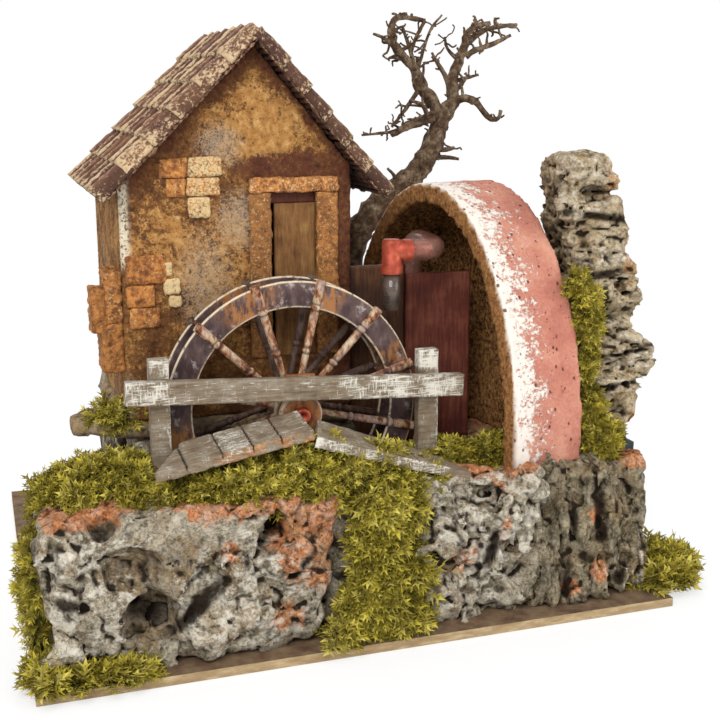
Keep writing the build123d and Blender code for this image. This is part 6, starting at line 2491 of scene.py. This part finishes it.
@dataclass
class Spout:
    """Copper elbow over the wheel, with its hose and drop tube."""

    place: tuple[float, float] = (164.0, 58.0)
    height: float = 160.0

    def build(self, copper: bpy.types.Material, hose: bpy.types.Material, tube: bpy.types.Material) -> None:
        """Makes the elbow and the two tubes.

        Args:
            copper: finish of the elbow.
            hose: finish of the hose.
            tube: finish of the tube under the elbow.
        """
        x, y, z = self.place[0], self.place[1], self.height
        down = turned_part([(3.1, -10), (5, -10), (5, -9.6), (5, -6.4), (4.85, -6), (4.4, -5.8), (4.4, 3.9),
                            (4.2, 4.7), (3.6, 5.1), (2.0, 5.15), (0.02, 5.2)], (x, y, z), (0, 0, 1), 40)
        across = turned_part([(0.02, -1), (4.2, -0.6), (4.4, 0.5), (4.4, 4.8), (4.85, 5), (5, 5.4),
                              (5, 8.6), (4.85, 9), (3.2, 9)], (x, y, z), (1, 0, 0), 40)
        inside = turned_part([(0.02, 8.9), (3.4, 8.9), (3.4, 17.5), (3.0, 18), (0.02, 18)], (x, y, z),
                             (1, 0, 0), 32)
        elbow = joined([down, across, inside])
        elbow.marks = {}
        make_piece("spout_elbow", elbow, copper, Body.MILL, ("spout_elbow",))
        drop = turned_part([(4, 0), (4, 15.9), (3, 15.9), (3, 0)], (x, y, z - 26), (0, 0, 1), 36, closed=True)
        drop.marks = {}
        make_piece("drop_tube", drop, tube, Body.MILL, ("drop_tube",))
        route = [(x + 9.1, y, z), (x + 13, y, z), (x + 18, y + 1.5, z), (x + 21.8, y + 6, z),
                 (x + 23.4, y + 13, z), (x + 24, y + 26, z), (x + 24, y + 33, z - 1), (x + 24, y + 37, z - 5),
                 (x + 24, y + 38, z - 12), (x + 24, y + 38, z - 40), (x + 24, y + 38, 66.2)]
        outer = tube_along(route, [4.9, 4.9, 5.1] + [5.4] * (len(route) - 3), 28, 5)
        inner = tube_along(route, [4.0] * len(route), 20, 5)
        inner.faces = inner.faces[:, ::-1]
        make_piece("feed_hose", joined([outer, inner]), hose, Body.MILL, ("feed_hose",))


@dataclass(frozen=True)
class DryTwig:
    """Grey-brown bark of a dry twig with lichen and dark ends."""

    dark: Shade = (40, 29, 21)
    brown: Shade = (84, 65, 48)
    grey: Shade = (130, 114, 92)

    def dress(self) -> bpy.types.Material:
        """Makes the material."""
        recipe = Recipe("dry_twig")
        cloud = recipe.noise(4, 5, 0.68)
        colour = recipe.ramp(cloud, (0.3, self.dark), (0.48, self.brown), (0.66, self.grey),
                             (0.8, (164, 150, 126)))
        crack = recipe.fade(recipe.noise(1.4, 4, 0.7, stretch=(1, 1, 3), shift=3), 0.42, 0.36)
        colour = recipe.blend(recipe.times(crack, 0.8), colour, self.dark)
        # Painted shade in the twig's hollows and forks.
        colour = recipe.shaded(colour, 0.02, 0.3, 0.8, (36, 26, 20))
        recipe.bump(recipe.noise(1.2, 4, 0.7, shift=5), 0.5, 0.9)
        return recipe.done(colour, 0.9, 0.2)


@dataclass
class BareTree:
    """A dry forked twig with knots and short side shoots."""

    limbs: tuple[tuple[tuple[Point, ...], float, float], ...] = (
        (((165, 139, 66), (168, 143, 120), (176, 150, 150), (184, 151, 164), (195, 150, 175), (208, 149, 185),
          (215, 150, 193), (221, 151, 203), (223, 150, 211), (223, 150, 218)), 7.4, 4.6),
        (((229, 150, 221), (221, 148, 217), (213, 147, 214), (204, 145, 211), (195, 144, 207)), 3.8, 1.3),
        (((223, 150, 216), (218, 147, 225), (210, 146, 231), (207, 143, 239), (200, 141, 245),
          (194, 140, 252), (193, 140, 259), (196, 140, 264), (205, 143, 264), (212, 143, 263)), 3.3, 1.0),
        (((212, 143, 263), (209, 143, 258), (207, 143, 254), (205, 143, 247)), 1.1, 0.6),
        (((195, 140, 250), (189, 139, 254), (183, 138, 256)), 1.3, 0.7),
        (((206, 143, 243), (204, 143, 249), (200, 143, 260)), 1.2, 0.7),
        (((219, 151, 221), (217, 155, 228), (217, 156, 233), (214, 157, 239), (214, 157, 246)), 2.4, 0.9),
        (((214, 157, 240), (217, 157, 250), (221, 157, 260), (227, 157, 267)), 1.0, 0.5),
        (((210, 146, 229), (203, 145, 220), (195, 144, 211)), 1.3, 0.7),
        (((210, 148, 215), (206, 147, 213), (198, 147, 209), (192, 147, 208), (180, 147, 207)), 1.3, 0.6),
        (((225, 150, 214), (232, 152, 224), (231, 152, 234), (234, 153, 241), (238, 153, 251),
          (239, 152, 257), (243, 151, 261), (251, 150, 263)), 3.7, 1.1),
        (((238, 153, 251), (243, 156, 255), (252, 158, 260), (261, 159, 262), (271, 160, 263)), 2.0, 0.9),
        (((260, 159, 262), (258, 159, 264), (258, 159, 266.4)), 1.3, 0.8),
        (((239, 153, 246), (243, 152, 249), (251, 150, 252), (258, 149, 255), (262, 148, 257)), 1.7, 0.9),
        (((230, 152, 226), (228, 152, 235), (223, 153, 243), (220, 153, 248)), 1.6, 0.7),
        (((231, 152, 233), (237, 151, 235), (245, 150, 237)), 1.4, 0.7),
        (((228, 151, 222), (232, 150, 224), (238, 149, 225), (243, 148, 223), (250, 146, 215),
          (255, 146, 215), (256, 145, 219)), 2.4, 1.0),
        (((222, 150, 199), (227, 148, 199), (231, 147, 200)), 1.6, 0.8),
        (((221, 150, 195), (228, 149, 195), (234, 148, 194)), 1.5, 0.7),
        (((200, 150, 179), (198, 148, 186), (194, 147, 190)), 1.4, 0.7),
        (((214, 143, 217), (210, 141, 222), (203, 140, 224)), 1.5, 0.7),
        (((232, 152, 228), (237, 156, 231), (240, 160, 236)), 1.3, 0.6),
        (((197, 141, 248), (203, 138, 251), (206, 136, 256)), 1.0, 0.6),
        (((235, 153, 244), (230, 156, 250), (229, 158, 256)), 1.1, 0.6),
    )
    knots: tuple[tuple[Point, float], ...] = (
        ((223, 150, 216), 5.6), ((213, 147, 214.5), 4.6), ((204, 145, 211.5), 3.2), ((219, 151, 222), 4.0),
        ((232, 152, 224.5), 4.4), ((234, 153, 241), 3.2), ((238, 153, 251), 3.0), ((221, 151, 203), 5.4),
        ((207, 143, 239), 2.6), ((195, 140, 251), 2.2), ((243, 148, 224), 2.8), ((227, 151, 210), 4.0),
    )
    shoot_gap: float = 3.6
    shoots_above: float = 196.0
    shoots_between: tuple[float, float] = (180.5, 270.0)
    shoots_below: float = 266.0

    def build(self, material: bpy.types.Material) -> None:
        """Makes the tree.

        Args:
            material: its finish.
        """
        skins = []
        for number, (points, first, last) in enumerate(self.limbs):
            thick = np.linspace(first, last, len(points))
            sides = 16 if first > 2.5 else 10
            skins.append(tube_along(points, list(thick), sides, 7 if first > 2.5 else 5, 0.34, 801 + number))
        for number, (centre, size) in enumerate(self.knots):
            skins.append(knot(centre, size, 851 + number))
        skins += self._shoots()
        tree = joined(skins)
        tree.marks = {"hollow": tree.hollowness(2)}
        make_piece("tree", tree, material, Body.MILL, ("tree",))

    def _shoots(self) -> list[Skin]:
        """Short crooked shoots and stubs along the upper limbs."""
        draw = np.random.default_rng(881)
        skins = []
        for number, (points, first, last) in enumerate(self.limbs):
            line, size = smooth_route(points, list(np.linspace(first, last, len(points))), 6)
            reach = float(np.linalg.norm(np.diff(line, axis=0), axis=1).sum())
            for k in range(int(reach / self.shoot_gap)):
                at = int(draw.integers(len(line) // 4, len(line) - 1))
                if line[at][2] < self.shoots_above:
                    continue
                way = draw.normal(0, 1, 3) * (1.0, 0.7, 1.0) + (0, 0, 0.35)
                way /= np.linalg.norm(way)
                length = draw.uniform(2.5, 9.5)
                bends = [line[at] + way * length * part + draw.normal(0, 0.09 * length, 3) * part
                         for part in (0, 0.3, 0.6, 0.8, 1)]
                for bend in bends:
                    bend[0], bend[2] = np.clip(bend[0], *self.shoots_between), min(bend[2], self.shoots_below)
                thick = min(0.95, float(size[at]) * 0.6)
                skins.append(tube_along(bends, list(np.linspace(thick, 0.4, 5)), 8, 2, 0.4,
                                        1001 + 40 * number + k))
        return skins


@dataclass
class Basin:
    """The black tub between the rocks, with its still water."""

    low: Point = (46, 41, 4)
    high: Point = (281, 74, 66)
    wall: float = 3.0
    water: float = 46.0

    def build(self, plastic: bpy.types.Material, water: bpy.types.Material) -> None:
        """Makes the water and gives the tub its finish.

        Args:
            plastic: finish of the tub.
            water: finish of the water.
        """
        dress_node("water_basin", plastic)
        across = np.linspace(self.low[0] + self.wall, self.high[0] - self.wall, 94)
        deep = np.linspace(self.low[1] + self.wall, self.high[1] - self.wall, 12)
        top = np.stack(np.meshgrid(deep, across, indexing="ij")[::-1] + [np.full((12, 94), self.water)],
                       axis=-1)
        points = top.reshape(-1, 3)
        points[:, 2] += 0.35 * Grain(901).layers(points, (12, 12, 12), 2)
        make_piece("basin_water", Skin(points, grid_faces(12, 94, turned=True)), water, Body.MILL)


@dataclass(frozen=True)
class TubPlastic:
    """Black plastic with a film of dust."""

    black: Shade = (26, 30, 33)

    def dress(self) -> bpy.types.Material:
        """Makes the material."""
        recipe = Recipe("tub_plastic")
        dust = recipe.noise(6, 5, 0.7)
        colour = recipe.ramp(dust, (0.35, self.black), (0.6, (44, 50, 54)), (0.8, (84, 88, 88)))
        recipe.bump(recipe.noise(2, 3, 0.6), 0.15, 0.5)
        return recipe.done(colour, 0.55, 0.4)


@dataclass(frozen=True)
class StillWater:
    """Dark still water."""

    deep: Shade = (20, 34, 38)

    def dress(self) -> bpy.types.Material:
        """Makes the material."""
        recipe = Recipe("still_water")
        colour = recipe.ramp(recipe.noise(16, 3, 0.5), (0.3, self.deep), (0.7, (36, 56, 60)))
        recipe.bump(recipe.noise(9, 3, 0.5), 0.4, 0.4)
        return recipe.done(colour, 0.08, 0.5)


@dataclass(frozen=True)
class DoorStain:
    """Ochre-brown stained door, with painted shade where its mesh is hollow."""

    dark: Shade = (70, 38, 20)
    main: Shade = (116, 80, 44)
    light: Shade = (156, 120, 72)

    def dress(self, name: str) -> bpy.types.Material:
        """Makes the material; it reads the mark hollow."""
        recipe = Recipe(name)
        fibre = recipe.noise(1.5, 5, 0.65, stretch=(1, 1, 8))
        cloud = recipe.noise(12, 4, 0.6, shift=4)
        colour = recipe.ramp(recipe.blend(0.5, fibre, cloud), (0.32, self.dark), (0.5, self.main),
                             (0.7, self.light))
        # Painted shade in the door's hollows.
        colour = recipe.shaded(colour, 0.02, 0.3, 0.85, (34, 18, 10))
        recipe.bump(fibre, 0.3, 0.7)
        return recipe.done(colour, 0.8, 0.25)


def build_ground() -> None:
    """Makes what the house and the arch stand on: board, cork pieces and basin."""
    dress_node("base_board", Fibreboard().dress())
    bark = CorkBark().dress()
    level_bark = CorkBark(dark=(100, 84, 60), grey=(156, 138, 108), light=(190, 174, 146), tan=(160, 130, 90),
                          orange=(176, 134, 88), stretch=(3.0, 3.0, 1.0), scuffed=0.3).dress("level_bark")
    dark_bark = CorkBark(dark=(62, 54, 38), grey=(108, 96, 74), light=(156, 144, 118),
                         stretch=(1.0, 1.0, 2.2), scuffed=0.45).dress("dark_bark")
    for rock in FRONT_ROCKS + SIDE_ROCKS:
        rock.build(dark_bark if rock.name == "rock_front_corner" else bark)
    PILLAR.build(level_bark)
    CorkShelf().build(level_bark)
    Basin().build(TubPlastic().dress(), StillWater().dress())


def build_house() -> None:
    """Makes the house with its door."""
    house = House()
    house.build_walls(Plaster().dress())
    house.build_stones(PaintedBrick().dress())
    house.build_roof(FiredTile().dress(), RoofBoard().dress())
    panel = upright_board((115.8, 76.6, 112), (134.5, 79.1, 180.5), 341, 0.9, 0.3)
    make_piece("door_panel", panel, DoorStain().dress("door_stain"), Body.MILL, ("door_panel",))
    header = upright_board((114.1, 77.2, 180.7), (134.4, 79.4, 185.4), 347, 0.9, 0.3)
    dark_stain = DoorStain(dark=(44, 22, 18), main=(82, 44, 32), light=(112, 66, 44)).dress("header_stain")
    make_piece("door_header", header, dark_stain, Body.MILL)


def build_wheel(copper: bpy.types.Material) -> None:
    """Makes the wheel and the timber round it.

    Args:
        copper: finish of the axle.
    """
    spokes = TurnedWood()
    disc = WheelPaint(dark=(62, 34, 22), plum=(104, 62, 38), middle=(134, 86, 54),
                      mauve=(150, 104, 70)).dress("hub_wood")
    Waterwheel().build(WheelPaint().dress(), spokes.dress("front_spokes", 0), spokes.dress("back_spokes", 1),
                       copper, disc)
    Timberwork().build(WeatheredWood().dress(), disc)


def build_arch(copper: bpy.types.Material) -> None:
    """Makes the arch with its screens and the spout.

    Args:
        copper: finish of the elbow.
    """
    ClayArch().build(PinkClay().dress())
    red = StreakedBoard((60, 28, 22), (104, 50, 38), (142, 88, 64)).dress("red_screen")
    brown = StreakedBoard((34, 20, 14), (70, 42, 26), (112, 74, 44)).dress("brown_screen")
    for name, low, high, seed, finish, slot in (
            ("screen_red", (179, 78, 66), (211, 81, 146), 711, red, Slot.RED_SCREEN),
            ("screen_brown", (152, 82, 66), (179.5, 86, 150), 713, brown, Slot.BROWN_SCREEN)):
        make_piece(name, upright_board(low, high, seed), finish, Body.MILL, (name,))
    Spout().build(copper, ClearPlastic().dress("clear_hose"),
                  ClearPlastic(shade=(58, 48, 42), glint=(104, 90, 80), cover=0.72).dress("clear_drop_tube"))


def build_moss() -> None:
    """Makes the cushions of moss."""
    moss = DryMoss()
    bed, fronds = moss.ground(), moss.dress()
    for patch in MOSSES:
        patch.build(bed, fronds)


def main() -> None:
    """Builds the model's pieces in order."""
    logging.basicConfig(level=logging.INFO, format="%(message)s")
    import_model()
    Studio().build()
    copper = PolishedCopper().dress()
    build_ground()
    build_house()
    build_wheel(copper)
    build_arch(copper)
    BareTree().build(DryTwig().dress())
    build_moss()
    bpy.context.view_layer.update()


if __name__ == "__main__":
    main()
